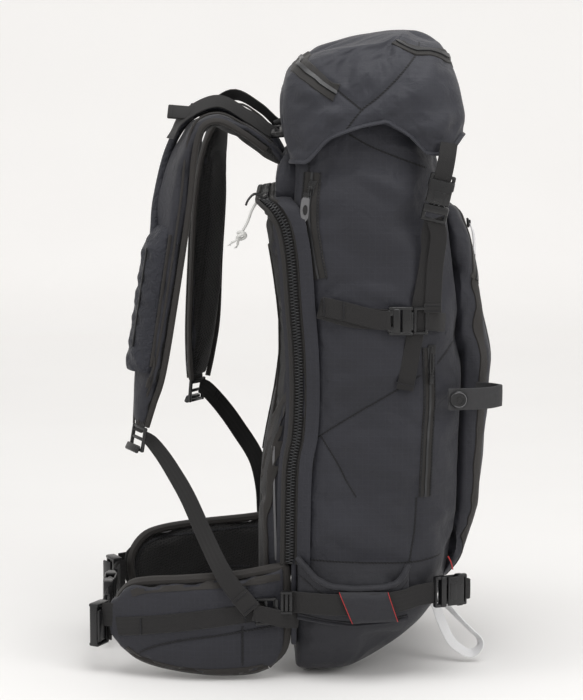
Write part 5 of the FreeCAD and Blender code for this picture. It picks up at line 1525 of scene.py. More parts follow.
def sideRelease(femaleName, maleName, place, web, femaleBody, maleBody, female, male, thick=11.0):
    # two halves in millimetres along x: the socket reaches to +x, the prongs come from -x
    half = web / 2
    t = thick / 2
    bm = bmesh.new()
    block(bm, (1, -half - 3.6, t - 2.2), (27, half + 3.6, t), place, 1.4)
    block(bm, (1, -half - 3.6, -t), (27, half + 3.6, -t + 2.2), place, 1.4)
    block(bm, (17, -half - 4.8, -t + 1), (27, -half - 1.4, t - 1), place, 1.3)
    block(bm, (17, half + 1.4, -t + 1), (27, half + 4.8, t - 1), place, 1.3)
    block(bm, (23.5, -half - 4.8, -t + 1.4), (27.6, half + 4.8, t - 1.4), place, 1.4)
    block(bm, (30.4, -half - 4.6, -t + 2.2), (34, half + 4.6, t - 2.2), place, 1.6)
    for y in (-half - 4.6, half + 1.2):
        block(bm, (25, y, -t + 2.4), (33.6, y + 3.4, t - 2.4), place, 1.3)
    block(bm, (4, -half + 2.5, t - 0.4), (15, half - 2.5, t + 0.5), place, 0.8)
    finish(femaleName, bm, [blackPlastic], body=femaleBody, replaces=female)
    bm = bmesh.new()
    block(bm, (-9.5, -half - 4.6, -t + 0.6), (-0.4, half + 4.6, t - 0.6), place, 1.8)
    block(bm, (-18.6, -half - 4.6, -t + 1.8), (-15, half + 4.6, t - 1.8), place, 1.6)
    for y in (-half - 4.6, half + 1.2):
        block(bm, (-17.5, y, -t + 1.8), (-6, y + 3.4, t - 1.8), place, 1.3)
    for sign in (-1, 1):
        a, b = sorted((sign * (half - 0.4), sign * (half - 4.6)))
        block(bm, (-1, a, -2.2), (13.4, b, 2.2), place, 1.2)
        a, b = sorted((sign * (half + 2.8), sign * (half - 2.4)))
        block(bm, (6.4, a, -2.4), (14.6, b, 2.4), place, 1.8)
    block(bm, (-1, -1.6, -1.8), (11, 1.6, 1.8), place, 0.8)
    return bm, maleName, maleBody, male


def closeMales(parts, name, body, nodes):
    joined = bmesh.new()
    for bm, *_ in parts:
        mesh = bpy.data.meshes.new("half")
        bm.to_mesh(mesh)
        bm.free()
        joined.from_mesh(mesh)
        bpy.data.meshes.remove(mesh)
    finish(name, joined, [blackPlastic], body=body, replaces=nodes)


def beltBuckle():
    x, _, z = jointAt["belt_left_hinge"]
    place = frameOf((x, -0.004, z), (0, 1, 0), (-1, 0, 0))
    part = sideRelease("beltSocket", "beltProngs", place, 38, "belt_right", "belt_left", ("belt_buckle_female",), (), 13)
    closeMales([part], "beltProngs", "belt_left", ("belt_buckle_male",))


beltBuckle()
print("hip belt ready")


# Lid buckles, their straps and the folded tail on each side.
def makeLidStraps():
    hinge = jointAt["lid_hinge"]
    males = []
    bm = bmesh.new()
    stitches = bmesh.new()
    for side, sign in sides.items():
        look = looks[side]
        low, high = boxOf("lid_buckle_females")
        centre = Vector((hinge.x + 0.139, 0, hinge.z - 0.052))
        up = Vector((0.22, 0, 0.975))
        outside = high.y - 0.0055
        place = frameOf((centre.x, sign * outside, centre.z), up, (0, sign, 0)) @ Matrix.Diagonal((0.88, 1, 1, 1))
        part = sideRelease(f"lidSocket.{side}", "", place, 15.5, "lid", "pack", ("lid_buckle_females",), (), 11)
        males.append(part)
        y = sign * (outside - 0.001)
        flush = sign * (bagHigh.y + 0.0035)
        across = (1, 0, 0.18)
        start = centre - up * 0.0145
        rows = [(start.x, y, start.z, *across), (start.x - 0.003, y - sign * 0.003, start.z - 0.016, *across),
                (bagPoint(0.80, 0.76)[0], flush, bagPoint(0, 0.76)[2], *across),
                (bagPoint(0.72, 0.62)[0], flush + sign * 0.001, bagPoint(0, 0.62)[2], *across),
                (bagPoint(0.665, 0.525)[0], flush - sign * 0.002, bagPoint(0, 0.525)[2], *across)]
        band(bm, rows, 0.0165, 0.0017)
        # the webbing's free tail hangs straight and ends in a folded hem
        straight = (1, 0, 0)
        rows = [(start.x + 0.001, y + sign * 0.002, start.z + 0.001, *straight),
                (bagPoint(0.855, 0.80)[0], y + sign * 0.001, bagPoint(0, 0.80)[2], *straight),
                (bagPoint(0.835, 0.74)[0], flush + sign * 0.003, bagPoint(0, 0.74)[2], *straight),
                (bagPoint(0.825, 0.672)[0], flush + sign * 0.003, bagPoint(0, 0.672)[2], *straight)]
        band(bm, rows, 0.0160, 0.0016)
        hem = Vector(rows[-1][:3])
        block(bm, (-4.5, -8.4, -2.2), (4.5, 8.4, 2.2), frameOf(hem, (0, 0, 1), (0, sign, 0)), 1.0)
        for z in (-2.6, 2.6):
            block(stitches, (-0.4, -7.4, 2.0), (0.4, 7.4, 2.6), frameOf(hem + at(0, 0, z), (0, 0, 1), (0, sign, 0)), 0.2)
        # sewn foot of the strap in the diagonal seam
        foot = Vector(bagPoint(0.67, 0.535, side))
        foot.y = flush + sign * 0.0015
        block(stitches, (-0.6, -9.5, -0.4), (0.6, 9.5, 0.6), frameOf(foot, (0.25, 0, 1), (0, sign, 0)), 0.2)
    closeMales(males, "lidProngs", "pack", ("lid_buckle_males",))
    finish("lidStraps", bm, [webbing], body="pack", replaces=("lid_straps",))
    finish("lidStrapStitches", stitches, [seamThread], body="pack")

    # tabs that hold the sockets, sewn on the lid's hem
    for side, sign in sides.items():
        bm = bmesh.new()
        look = looks[side]
        low, high = boxOf("lid_buckle_females")
        centre = Vector((hinge.x + 0.139, 0, hinge.z - 0.052))
        up = Vector((0.22, 0, 0.975))
        loop = centre + up * 0.0265
        outside = sign * (high.y - 0.0055)
        skin = sign * (lidHigh.y + 0.004)
        across = (1, 0, -0.2)
        for shift in (0.0032, -0.0032):
            rows = [(loop.x - 0.001, outside + shift * 0.6, loop.z - 0.004, *across),
                    (loop.x, outside + shift, loop.z + 0.001, *across),
                    (loop.x + 0.002, outside + shift * 0.8, loop.z + 0.010, *across),
                    (loop.x + 0.004, (outside + skin) / 2 + shift * 0.5, loop.z + 0.021, *across),
                    (loop.x + 0.006, skin - sign * 0.003, loop.z + 0.033, *across)]
            band(bm, rows, 0.0165, 0.0016)
        finish(f"lidTab.{side}", bm, [webbing], body="lid")


makeLidStraps()


# Compression straps with their hook buckles.
def makeSideStraps():
    fixed = bmesh.new()
    for side, sign in sides.items():
        look = looks[side]
        low, high = boxOf(f"side_strap_{side}")
        hookLow, hookHigh = boxOf(f"side_hook_{side}")
        hook = (hookLow + hookHigh) / 2
        skin = sign * max(abs(low.y), abs(high.y))
        wide = (0, 0, 1)
        bm = bmesh.new()
        rows = [(bagPoint(0.155, 0)[0], skin - sign * 0.0010, bagPoint(0, 0.672)[2], *wide),
                (bagPoint(0.22, 0)[0], skin + sign * 0.0002, bagPoint(0, 0.667)[2], *wide),
                (bagPoint(0.36, 0)[0], skin + sign * 0.0006, bagPoint(0, 0.656)[2], *wide),
                (hook.x - 0.013, skin + sign * 0.0016, hook.z + 0.001, *wide),
                (hook.x - 0.006, skin + sign * 0.0034, hook.z, *wide)]
        band(bm, rows, 0.0205, 0.0017)
        rows = [(bagPoint(0.17, 0)[0], skin + sign * 0.0022, bagPoint(0, 0.676)[2], *wide),
                (bagPoint(0.30, 0)[0], skin + sign * 0.0026, bagPoint(0, 0.667)[2], *wide),
                (bagPoint(0.50, 0)[0], skin + sign * 0.0034, bagPoint(0, 0.652)[2], *wide),
                (hook.x - 0.012, skin + sign * 0.0045, hook.z + 0.001, *wide)]
        band(bm, rows, 0.0185, 0.0015)
        for share, z in ((0.185, 0.674), (0.30, 0.668)):
            p = Vector((bagPoint(share, 0)[0], skin + sign * 0.0038, bagPoint(0, z)[2]))
            block(bm, (-0.7, -8.5, -0.6), (0.7, 8.5, 0.4), frameOf(p, (1, 0, 0.02), (0, sign, 0)), 0.3, 1)
        finish(f"sideStrap.{side}", bm, [webbing, seamThread], body=f"side_strap_{side}",
               replaces=(f"side_strap_{side}",))

        bm = bmesh.new()
        place = frameOf((hook.x, sign * abs(hook.y), hook.z), (1, 0, 0), (0, sign, 0))
        for y in (-14, 10.6):
            block(bm, (-14, y, -1.6), (10, y + 3.4, 3.0), place, 1.6, steps=3)
        block(bm, (-15.5, -11, -1.0), (-11.2, 11, 3.2), place, 2.0, steps=3)
        block(bm, (-9.8, -12.5, -0.8), (-2.2, 12.5, 3.9), place, 2.0, steps=3)
        for y in (-11, 5):
            block(bm, (-14.5, y, -0.8), (-3, y + 6, 3.0), place, 1.4)
        block(bm, (-1.0, -13, -1.2), (8.5, 13, 2.8), place, 1.6, steps=3)
        block(bm, (7.0, -9, -4.0), (10.2, 9, 2.4), place, 1.2)
        finish(f"sideHook.{side}", bm, [blackPlastic], body=f"side_strap_{side}",
               replaces=(f"side_hook_{side}",))

        barLow, barHigh = boxOf("side_bars")
        bar = Vector((hook.x + 0.019, sign * (barHigh.y - 0.0018), hook.z))
        place = frameOf(bar, (1, 0, 0), (0, sign, 0))
        for y in (-13.4, 10.4):
            block(fixed, (-9, y, -1.8), (5.6, y + 3.0, 1.8), place, 1.3, 1)
        block(fixed, (-9, -12, -1.5), (-5.4, 12, 1.5), place, 1.4, 1)
        block(fixed, (2.4, -12, -1.5), (5.6, 12, 1.5), place, 1.4, 1)
        y = sign * (barHigh.y - 0.0035)
        rows = [(bar.x + 0.004, y + sign * 0.003, bar.z, *wide), (bar.x + 0.010, y + sign * 0.001, bar.z - 0.0005, *wide),
                (bagPoint(0.865, 0)[0], y - sign * 0.004, bar.z - 0.002, *wide),
                (bagPoint(0.90, 0)[0], y - sign * 0.011, bar.z - 0.003, *wide)]
        band(fixed, rows, 0.0185, 0.0022)
    finish("sideStrapEnds", fixed, [webbing, blackPlastic], body="pack", replaces=("side_bars",))


makeSideStraps()
print("lid and side straps ready")


# Lower webbing: from each ladder lock down to the pack's corner, over the hip wing.
def makeLowerWebbing():
    nearRows = [
        (-178, -81, 231), (-171, -82, 226), (-160, -86, 213), (-148, -94, 196), (-134, -106, 174), (-118, -122, 142),
        (-101, -145, 112), (-88, -152, 93), (-70, -153, 72),
    ]
    farRows = [(-129, 79, 258), (-121, 82, 253), (-105, 92, 233), (-89, 108, 207), (-70, 134, 170), (-62, 151, 132),
               (-60, 153, 104), (-58, 153, 84)]
    for side, rows in (("left", nearRows), ("right", farRows)):
        sign = sides[side]
        bm = bmesh.new()
        places = [at(*r) for r in rows]
        made = []
        for i, p in enumerate(places):
            share = i / (len(places) - 1)
            across = Vector((0.62, sign * 0.70 * (1 - share) ** 1.4, 0.40 + 0.25 * share))
            made.append((*p, *across))
        band(bm, made, 0.0185, 0.0016)
        last = Vector(made[-1][:3])
        run = (last - Vector(made[-2][:3])).normalized()
        hem = frameOf(last - run * 0.009, run, (0, sign, 0))
        block(bm, (-10, -9.8, 0.6), (10, 9.8, 2.2), hem, 0.7)
        block(bm, (-8, -8.2, 2.0), (-7, 8.2, 2.7), hem, 0.2, 1)
        block(bm, (7, -8.2, 2.0), (8, 8.2, 2.7), hem, 0.2, 1)
        if side == "right":
            for k in (0.14, 0.18, 0.22):
                i = int(k * 10)
                p = places[1].lerp(places[2], k * 3)
                turn = (places[2] - places[1]).normalized()
                block(bm, (-0.5, -7, -1.4), (0.5, 7, 1.4), frameOf(p, turn + at(300, 0, 300), (0, -1, 0.2)), 0.3, 1)
        piece = finish(f"lowerWebbing.{side}", bm, [webbing, seamThread],
                       replaces=("lower_webbing",))
        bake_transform(piece)
        bm = bmesh.new()
        wide = (0.1, 0, 1)
        rows = [(*(last + at(2, 0, -3)), *wide), (*(last + at(18, 1 * -sign, -7)), *wide),
                (-0.036, sign * 0.1435, last.z - 0.013, *wide), (-0.024, sign * 0.137, last.z - 0.015, *wide)]
        band(bm, rows, 0.0165, 0.0016)
        place = frameOf((-0.036, sign * 0.1465, 0.077), (1, 0, 0), (0, sign, 0))
        ladderParts(bm, place, 16, 12, 3.6, material=1)
        finish(f"loadStrap.{side}", bm, [webbing, blackPlastic], body="pack")


makeLowerWebbing()


# Foot of the pack: side pocket, ski strap under its flap, corner buckle.
sidePocket = {
    "start": -25, "end": 84, "out": 8.5, "wall": 2.2,
    "rim": [(0, 121), (0.07, 113), (0.17, 101), (0.30, 94), (0.50, 92), (0.78, 93), (0.90, 97), (0.97, 107), (1, 114)],
    "foot": [(0, 62), (0.25, 57), (0.5, 54), (0.8, 57), (1, 61)],
}


def pocketSkin(side, t, s, inset=0.0):
    # a place on the pocket's outer cloth: t along it, s from its foot to its rim
    sign = sides[side]
    foot = np.interp(t, *zip(*sidePocket["foot"]))
    rim = np.interp(t, *zip(*sidePocket["rim"]))
    x = sidePocket["start"] + (sidePocket["end"] - sidePocket["start"]) * t
    swell = sidePocket["out"] * math.sin(math.pi * min(1, max(0, t))) ** 0.45 * (0.25 + 0.75 * s ** 0.6)
    pucker = 0.5 * math.sin(t * 60) * s ** 3
    return at(x, sign * (140.6 + swell + pucker - inset), foot + (rim - foot) * s)


def makeSidePocket(side):
    sign = sides[side]
    marks = np.linspace(0, 1, 61)
    heights = np.linspace(0, 1, 12)
    bm = bmesh.new()
    rings = []
    for t in marks:
        outer = [pocketSkin(side, t, s) for s in heights]
        inner = [pocketSkin(side, t, s, sidePocket["wall"]) for s in heights]
        rings.append(outer + inner[::-1])
    loft(bm, rings)
    piece = finish(f"sidePocket.{side}", bm, [pocketCloth], sharp=60)
    ripple(piece, 0.03, 0.0012, 61)
    clothMap(piece)
    settleIn(piece, "pack", (f"side_pocket_{side}",))
    bm = bmesh.new()
    rim = [pocketSkin(side, t, 1.0, 1.1) + at(0, 0, -0.5) for t in np.linspace(0, 1, 25)]
    tube(bm, rim, 0.0034, squash=0.75, sides=10, spacing=0.004)
    for s in (0.74, 0.06):
        row = [pocketSkin(side, t, s) for t in np.linspace(0.01, 0.99, 25)]
        tube(bm, row, 0.0008, squash=0.6, sides=6, material=1, spacing=0.004)
    welt = [pocketSkin(side, t, 0.0) + at(0, -sign * 0.5, -1) for t in np.linspace(0, 1, 20)]
    tube(bm, welt, 0.0024, squash=0.8, sides=8, spacing=0.004)
    finish(f"sidePocketRim.{side}", bm, [pocketCloth, seamThread], body="pack")


for side in sides:
    makeSidePocket(side)


def makeSkiStraps():
    bm = bmesh.new()
    flap = bmesh.new()
    males = []
    for side, sign in sides.items():
        wide = (0, 0, 1)
        slot = boxOf(f"lower_buckle_female_{side}")
        centre = (slot[0] + slot[1]) / 2
        run = Vector((0.906, -sign * 0.423, 0))
        out = Vector((0.423, sign * 0.906, 0))
        tail = centre - run * 0.018
        rows = [(-0.031, sign * 0.1415, 0.077, *wide), (-0.020, sign * 0.1462, 0.077, *wide),
                (0.004, sign * 0.1520, 0.0765, *wide), (0.030, sign * 0.1532, 0.0765, *wide),
                (0.060, sign * 0.1525, 0.0775, *wide), (0.082, sign * 0.1450, 0.080, *wide),
                (0.092, sign * 0.1422, 0.083, *wide), (*(tail + at(0, 0, 0)), *wide)]
        band(bm, rows, 0.0215, 0.0016)
        # flap that covers the strap, with its thin red edges
        corners4 = [(0.28, 0.162), (0.57, 0.162), (0.63, 0.108), (0.36, 0.104)]
        top = [Vector(bagPoint(a, b)) for a, b in (corners4[0], corners4[1])]
        foot = [Vector(bagPoint(a, b)) for a, b in (corners4[3], corners4[2])]
        rings = []
        for t in np.linspace(0, 1, 16):
            a, b = top[0].lerp(top[1], t), foot[0].lerp(foot[1], t)
            ring = []
            for s in np.linspace(0, 1, 9):
                p = a.lerp(b, s)
                ring.append(Vector((p.x, sign * (0.1572 - 0.005 * (2 * s - 1) ** 6 - 0.0010 * s), p.z)))
            rings.append(ring + [Vector((p.x, p.y - sign * 0.0012, p.z)) for p in ring[::-1]])
        loft(flap, rings)
        for a, b in ((top[0], foot[0]), (top[1], foot[1])):
            line = [Vector((p.x, sign * y, p.z)) for p, y in
                    ((a, 0.1520), (a.lerp(b, 0.12), 0.1566), (a.lerp(b, 0.88), 0.1558), (b, 0.1510))]
            tube(flap, line, 0.00042, sides=6, material=1)
        corner = [at(123, sign * 134.5, 121), at(126, sign * 133.5, 115), at(128, sign * 132, 107)]
        tube(flap, corner, 0.0006, sides=6, material=1)
        place = frameOf(centre - run * 0.008, run, out) @ Matrix.Diagonal((0.68, 1, 1, 1))
        males.append(sideRelease(f"cornerSocket.{side}", "", place, 22, f"lower_buckle_{side}", "pack",
                                 (f"lower_buckle_female_{side}",), (), 10))
        end = bmesh.new()
        tip = centre + run * 0.0145
        rows = [(*(tip - run * 0.002 + out * 0.0030), *wide), (*(tip + run * 0.0035 + out * 0.002), *wide),
                (*(tip + run * 0.0035 - out * 0.002), *wide), (*(tip - run * 0.002 - out * 0.0030), *wide)]
        band(end, rows, 0.0200, 0.0018, spacing=0.001)
        finish(f"cornerLoop.{side}", end, [webbing], body=f"lower_buckle_{side}")
    closeMales(males, "cornerProngs", "pack", ("lower_buckle_males",))
    finish("skiStraps", bm, [webbing], body="pack", replaces=("lower_straps",))
    finish("skiStrapFlaps", flap, [pocketCloth, redEdge], body="pack")


makeSkiStraps()


def makeSkiLoop():
    # white webbing loop: its two strands turn as they hang
    line = [(108, 60), (115, 56), (121, 40), (131, 19), (143, 8), (153, 5), (161, 12), (160, 20), (152, 28), (140, 40),
            (129, 52), (120, 59), (110, 61)]
    lean = [20, 20, 22, 26, 34, 42, 55, 60, 62, 60, 50, 35, 20]
    bm = bmesh.new()
    rows = []
    for i, (x, z) in enumerate(line):
        a, b = line[max(i - 1, 0)], line[min(i + 1, len(line) - 1)]
        run = Vector((b[0] - a[0], 0, b[1] - a[1])).normalized()
        flat = Vector((-run.z, 0, run.x))
        turn = math.radians(lean[i])
        across = flat * math.cos(turn) + Vector((0, 1, 0)) * math.sin(turn)
        y = -68.5 + (3.0 if i > 6 else -1.0)
        rows.append((*at(x, y, z), *across))
    band(bm, rows, 0.0098, 0.0014, spacing=0.002)
    finish("skiLoop", bm, [whiteWebbing], body="ski_loop", replaces=("ski_loop",))


makeSkiLoop()
print("foot ready")


# Zips: tape, chain, slider and pull.
def layZip(name, tree, look, rows, width, nodes, body="pack"):
    bm = bmesh.new()
    drape(bm, tree, look, rows, width * mm, 0.0010, material=0)
    drape(bm, tree, look, rows, 0.0022, 0.0018, material=1, spacing=0.003)
    edge = Vector((width / 2 * mm - 0.001, 0, 0))
    for sign in (-1, 1):
        drape(bm, tree, look, [Vector(r[:3]) + edge * sign for r in rows], 0.0012, 0.0016, material=2)
    finish(name, bm, [zipTape, toothPlastic, seamThread], body=body, replaces=nodes)


sideZipPath = [(0.800, 0.600), (0.815, 0.51), (0.800, 0.42), (0.790, 0.33)]
upperZipPath = [(0.118, 0.908), (0.100, 0.83), (0.125, 0.77), (0.155, 0.722)]
layZip("sideZip", bagTree, looks["left"], shares(sideZipPath), 12, ("side_zip",))
layZip("upperZip", bagTree, looks["left"], shares(upperZipPath), 17, ("upper_zip",))


def sliderParts(bm, place, metal=0, scale=1.0):
    # slider in millimetres: x towards its pull, z off the zip
    k = scale
    block(bm, (-5 * k, -3.9 * k, 0), (4.6 * k, 3.9 * k, 2.3 * k), place, 1.2 * k, metal)
    block(bm, (-3 * k, -1.2 * k, 2.0 * k), (3.4 * k, 1.2 * k, 4.2 * k), place, 0.8 * k, metal)


def ovalPull(bm, place, length, width, thick, outside=0, inside=1):
    # rubber pull with a dark oval let into its face; x runs to its free end
    rings = []
    for i in range(13):
        t = i / 12
        x = length * t
        half = width / 2 * (0.62 + 0.38 * math.sin(math.pi * min(1, t * 1.05)) ** 0.7) * min(1, 0.55 + 3 * t, 0.3 + 4.6 * (1 - t))
        ring = []
        for k in range(14):
            turn = 2 * math.pi * k / 14
            side = math.copysign(abs(math.cos(turn)) ** 0.7, math.cos(turn))
            rise = math.copysign(abs(math.sin(turn)) ** 0.8, math.sin(turn))
            ring.append(place @ (Vector((x, side * half, rise * thick / 2)) * mm))
        rings.append(ring)
    loft(bm, rings, material=outside)
    for level in (1, -1):
        middle = Vector((length * 0.55, 0, level * thick * 0.44))
        ring = []
        for k in range(18):
            turn = 2 * math.pi * k / 18
            ring.append(middle + Vector((math.cos(turn) * length * 0.19, math.sin(turn) * width * 0.24, 0)))
        rings = [[place @ (p * mm) for p in ring], [place @ ((p + Vector((0, 0, level * 0.5))) * mm) for p in ring]]
        loft(bm, rings, material=inside)


def makeSidePulls():
    top = boxOf("upper_zip_slider")
    bm = bmesh.new()
    head = Vector((top[1].x - 0.003, 0, top[1].z - 0.003))
    skin = onto(bagTree, head, looks["left"])[0]
    down = Vector((-0.28, 0, -1)).normalized()
    sliderParts(bm, frameOf(skin + at(0, -0.8, 0), down, (0, -1, 0)))
    ring = skin + at(-1, -3.6, -3)
    tip = Vector((top[0].x + 0.0045, skin.y - 0.0035, top[0].z + 0.026))
    tube(bm, [ring + at(2.6, 0, 0), ring + at(1.4, 0, -8), tip + at(1.4, 0, 2)], 0.0009, sides=8)
    tube(bm, [ring + at(-1.4, 0, 1), ring + at(-3.4, 0, -8), tip + at(-1.4, 0, 2)], 0.0009, sides=8)
    tube(bm, [ring + at(2.6, 0, 0), ring + at(0.6, -0.6, 2.2), ring + at(-1.4, 0, 1)], 0.0009, sides=8, spacing=0.001)
    block(bm, (-3, -3.0, -1.8), (3, 3.0, 1.8), frameOf(tip, down, (0, -1, 0)), 1.2)
    ovalPull(bm, frameOf(tip, Vector((-0.06, 0, -1)), (0, -1, 0)), 26, 9.6, 3.4, 1, 0)
    finish("upperSlider", bm, [blackPlastic, greyRubber], body="upper_slider",
           replaces=("upper_zip_slider",))
    low, high = boxOf("side_zip_slider")
    bm = bmesh.new()
    head = Vector(((low.x + high.x) / 2, 0, high.z - 0.004))
    skin = onto(bagTree, head, looks["left"])[0]
    sliderParts(bm, frameOf(skin + at(0, -0.8, 0), (0, 0, -1), (0, -1, 0)))
    tube(bm, [skin + at(-1, -3.4, -3), skin + at(-1.4, -3, -16), skin + at(-0.6, -2.4, -26)], 0.0009, sides=8)
    tube(bm, [skin + at(1, -3.4, -3), skin + at(1.4, -3, -16), skin + at(0.8, -2.4, -26)], 0.0009, sides=8)
    block(bm, (-5, -2.2, -1.5), (5, 2.2, 1.5), frameOf(skin + at(0, -2.6, -29), (0, 0, -1), (0, -1, 0)), 1.1)
    finish("sideSlider", bm, [blackPlastic], body="side_slider", replaces=("side_zip_slider",))


makeSidePulls()


backZip = {
    # place in millimetres and the way the chain faces, down one side and to the middle of the top
    "rows": [
        (-33, 131, 112, 0, 1, 0), (-31, 131.5, 205, 0, 1, 0), (-25.5, 132, 240, 0, 1, 0), (-23.5, 132.5, 278, 0, 1, 0),
        (-24.5, 132.5, 323, 0, 1, 0), (-28, 132, 368, 0, 1, 0), (-31.5, 131, 415, 0, 1, 0),
        (-37, 129.5, 445, -0.2, 0.9, 0.3), (-46, 126, 461, -0.25, 0.6, 0.8), (-54, 118, 468, -0.2, 0.3, 1),
        (-57, 104, 470, -0.15, 0.1, 1), (-57.5, 60, 470, -0.15, 0, 1), (-57.5, 0, 470, -0.15, 0, 1),
    ],
    "pitch": 3.0, "tooth": 1.5,
}


def makeBackZip():
    rows = [(*at(*r[:3]), *r[3:]) for r in backZip["rows"]]
    whole = [(r[0], -r[1], r[2], r[3], -r[4], r[5]) for r in rows] + rows[::-1][1:]
    path = flow(whole, backZip["pitch"] * mm / 2)
    places = [Vector(r[:3]) for r in path]
    frames = []
    for i, p in enumerate(places):
        run = (places[min(i + 1, len(places) - 1)] - places[max(i - 1, 0)]).normalized()
        frames.append(frameOf(p, run, Vector(path[i][3:6])))
    bm = bmesh.new()
    half = backZip["tooth"] / 2
    for i, place in enumerate(frames[1:-1]):
        a, b = (-0.9, 4.0) if i % 2 else (-4.0, 0.9)
        block(bm, (-half, a, -1.3), (half, b, 1.5), place, 0.5, steps=1)
    finish("backZipTeeth", bm, [toothPlastic], body="pack", replaces=("back_zip",))
    bm = bmesh.new()
    outline = [(9.5, -0.8), (9.5, 0.4), (8.5, 1.5), (6, 1.4), (4.6, -1.0), (-4.6, -1.0), (-6, 1.4), (-8.5, 1.5), (-9.5, 0.4),
               (-9.5, -0.8), (-6, -1.8), (6, -1.8)]
    loft(bm, [[place @ at(0, y, z) for y, z in outline] for place in frames[::3] + [frames[-1]]])
    finish("backZipTape", bm, [zipTape], body="pack")
    # cloth flanges: one row joins the chain to the bag, the other bends over to the back panel
    count = len(frames)
    for side, sign in sides.items():
        part = frames[: count // 2 + 1] if sign < 0 else frames[count // 2:]
        flanges = (("bag", at(20, sign * 7, 0), at(26, 0, 2)), ("panel", at(-13, -sign * 9, 0), at(1, 0, -14)))
        for where, reach, crown in flanges:
            bm = bmesh.new()
            rings = []
            for place in part[::2] + [part[-1]]:
                p = place.translation
                level = min(1, max(0, (0.471 - p.z) / 0.030)) ** 0.7
                edge = reach * level + crown * (1 - level)
                start = p + edge.normalized() * 0.0075
                n = place.col[2].xyz.normalized() * 0.0009
                far = p + edge
                bow = (start + far) / 2 + n * 1.5
                rings.append([start + n, bow + n, far + n, far - n, bow - n, start - n])
            loft(bm, rings)
            if where == "bag":
                finish(f"bagFlange.{side}", bm, [packCloth], body="pack")
            else:
                piece = finish(f"panelFlange.{side}", bm, [packCloth])
                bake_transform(piece)
    bm = bmesh.new()
    for sign in (-1, 1):
        y = sorted((sign * 100, sign * 131))
        block(bm, (-31.5, y[0], 30), (-26, y[1], 118), Matrix.Identity(4), 2)
    finish("footFlanges", bm, [packCloth], body="pack")

    low, high = boxOf("back_zip_slider")
    middle = (low + high) / 2
    bm = bmesh.new()
    place = frameOf(middle + at(-1, 0, -1.5), (0, -1, 0), (-0.5, 0, 0.8))
    sliderParts(bm, place, 0, 1.35)
    ring = middle + at(-5, 0, 2)
    tube(bm, [ring + at(3, -3, 1), ring + at(-5, -3, 2), ring + at(-11, -1, -4), ring + at(-13, 0, -9)], 0.0011, sides=8)
    tube(bm, [ring + at(3, 3, 1), ring + at(-5, 3, 2), ring + at(-11, 1, -4), ring + at(-13, 0, -9)], 0.0011, sides=8)
    finish("backSlider", bm, [blackPlastic], body="back_slider", replaces=("back_zip_slider",))

    y = -105
    bm = bmesh.new()
    for shift in (-1, 1):
        strand = [at(-66, y + shift, 466), at(-70, y + 2.6 * shift, 459), at(-74, y + 2.2 * shift, 448),
                  at(-79, y + shift, 439), at(-80, y, 435)]
        tube(bm, strand, 0.0013, sides=8)
        tube(bm, [at(-66, y + shift, 466), at(-64, y, 469), at(-66, y - shift, 467)], 0.0013, sides=8, spacing=0.001)
    knot = [at(-77, y - 2.6, 437), at(-82, y - 3.2, 435), at(-84, y + 1, 432), at(-80, y + 3.2, 431),
            at(-76, y + 1, 434), at(-78, y - 2.6, 438), at(-83, y - 1, 438), at(-81, y + 2, 434)]
    tube(bm, knot, 0.0017, sides=8, spacing=0.001)
    for tipX, tipZ, shift in ((-90, 428, -2), (-84, 425, 2)):
        tube(bm, [at(-81, y, 434), at((tipX - 82) / 2, y + shift, 430), at(tipX, y + shift * 1.4, tipZ)], 0.0013, sides=8)
        for k in range(5):
            spread = 1.1 * (k - 2)
            tube(bm, [at(tipX + 0.6, y + shift * 1.4, tipZ + 0.6),
                      at(tipX - 2.2 + spread * 0.6, y + shift * 1.4 + spread, tipZ - 3)], 0.00032, sides=5)
    finish("backPull", bm, [paleCord], body="back_pull", replaces=("back_zip_pull",))


makeBackZip()


def makeYoke():
    # cloth that closes the back between the top of the panel and the shoulder pads
    bm = bmesh.new()
    rings = []
    for z, back, half in ((455, -42, 100), (470, -47, 108), (484, -47, 110), (497, -45, 106), (508, -41, 96), (517, -35, 80)):
        rings.append(roundedLoop(back * mm, -0.024, half * mm, 0.006, 0.004, z * mm))
    loft(bm, rings)
    piece = finish("yoke", bm, [packCloth], sharp=180)
    subdivide(piece, 1)
    ripple(piece, 0.05, 0.0015, 91)
    clothMap(piece)
    settleIn(piece, "pack", ())


makeYoke()
print("zips ready")


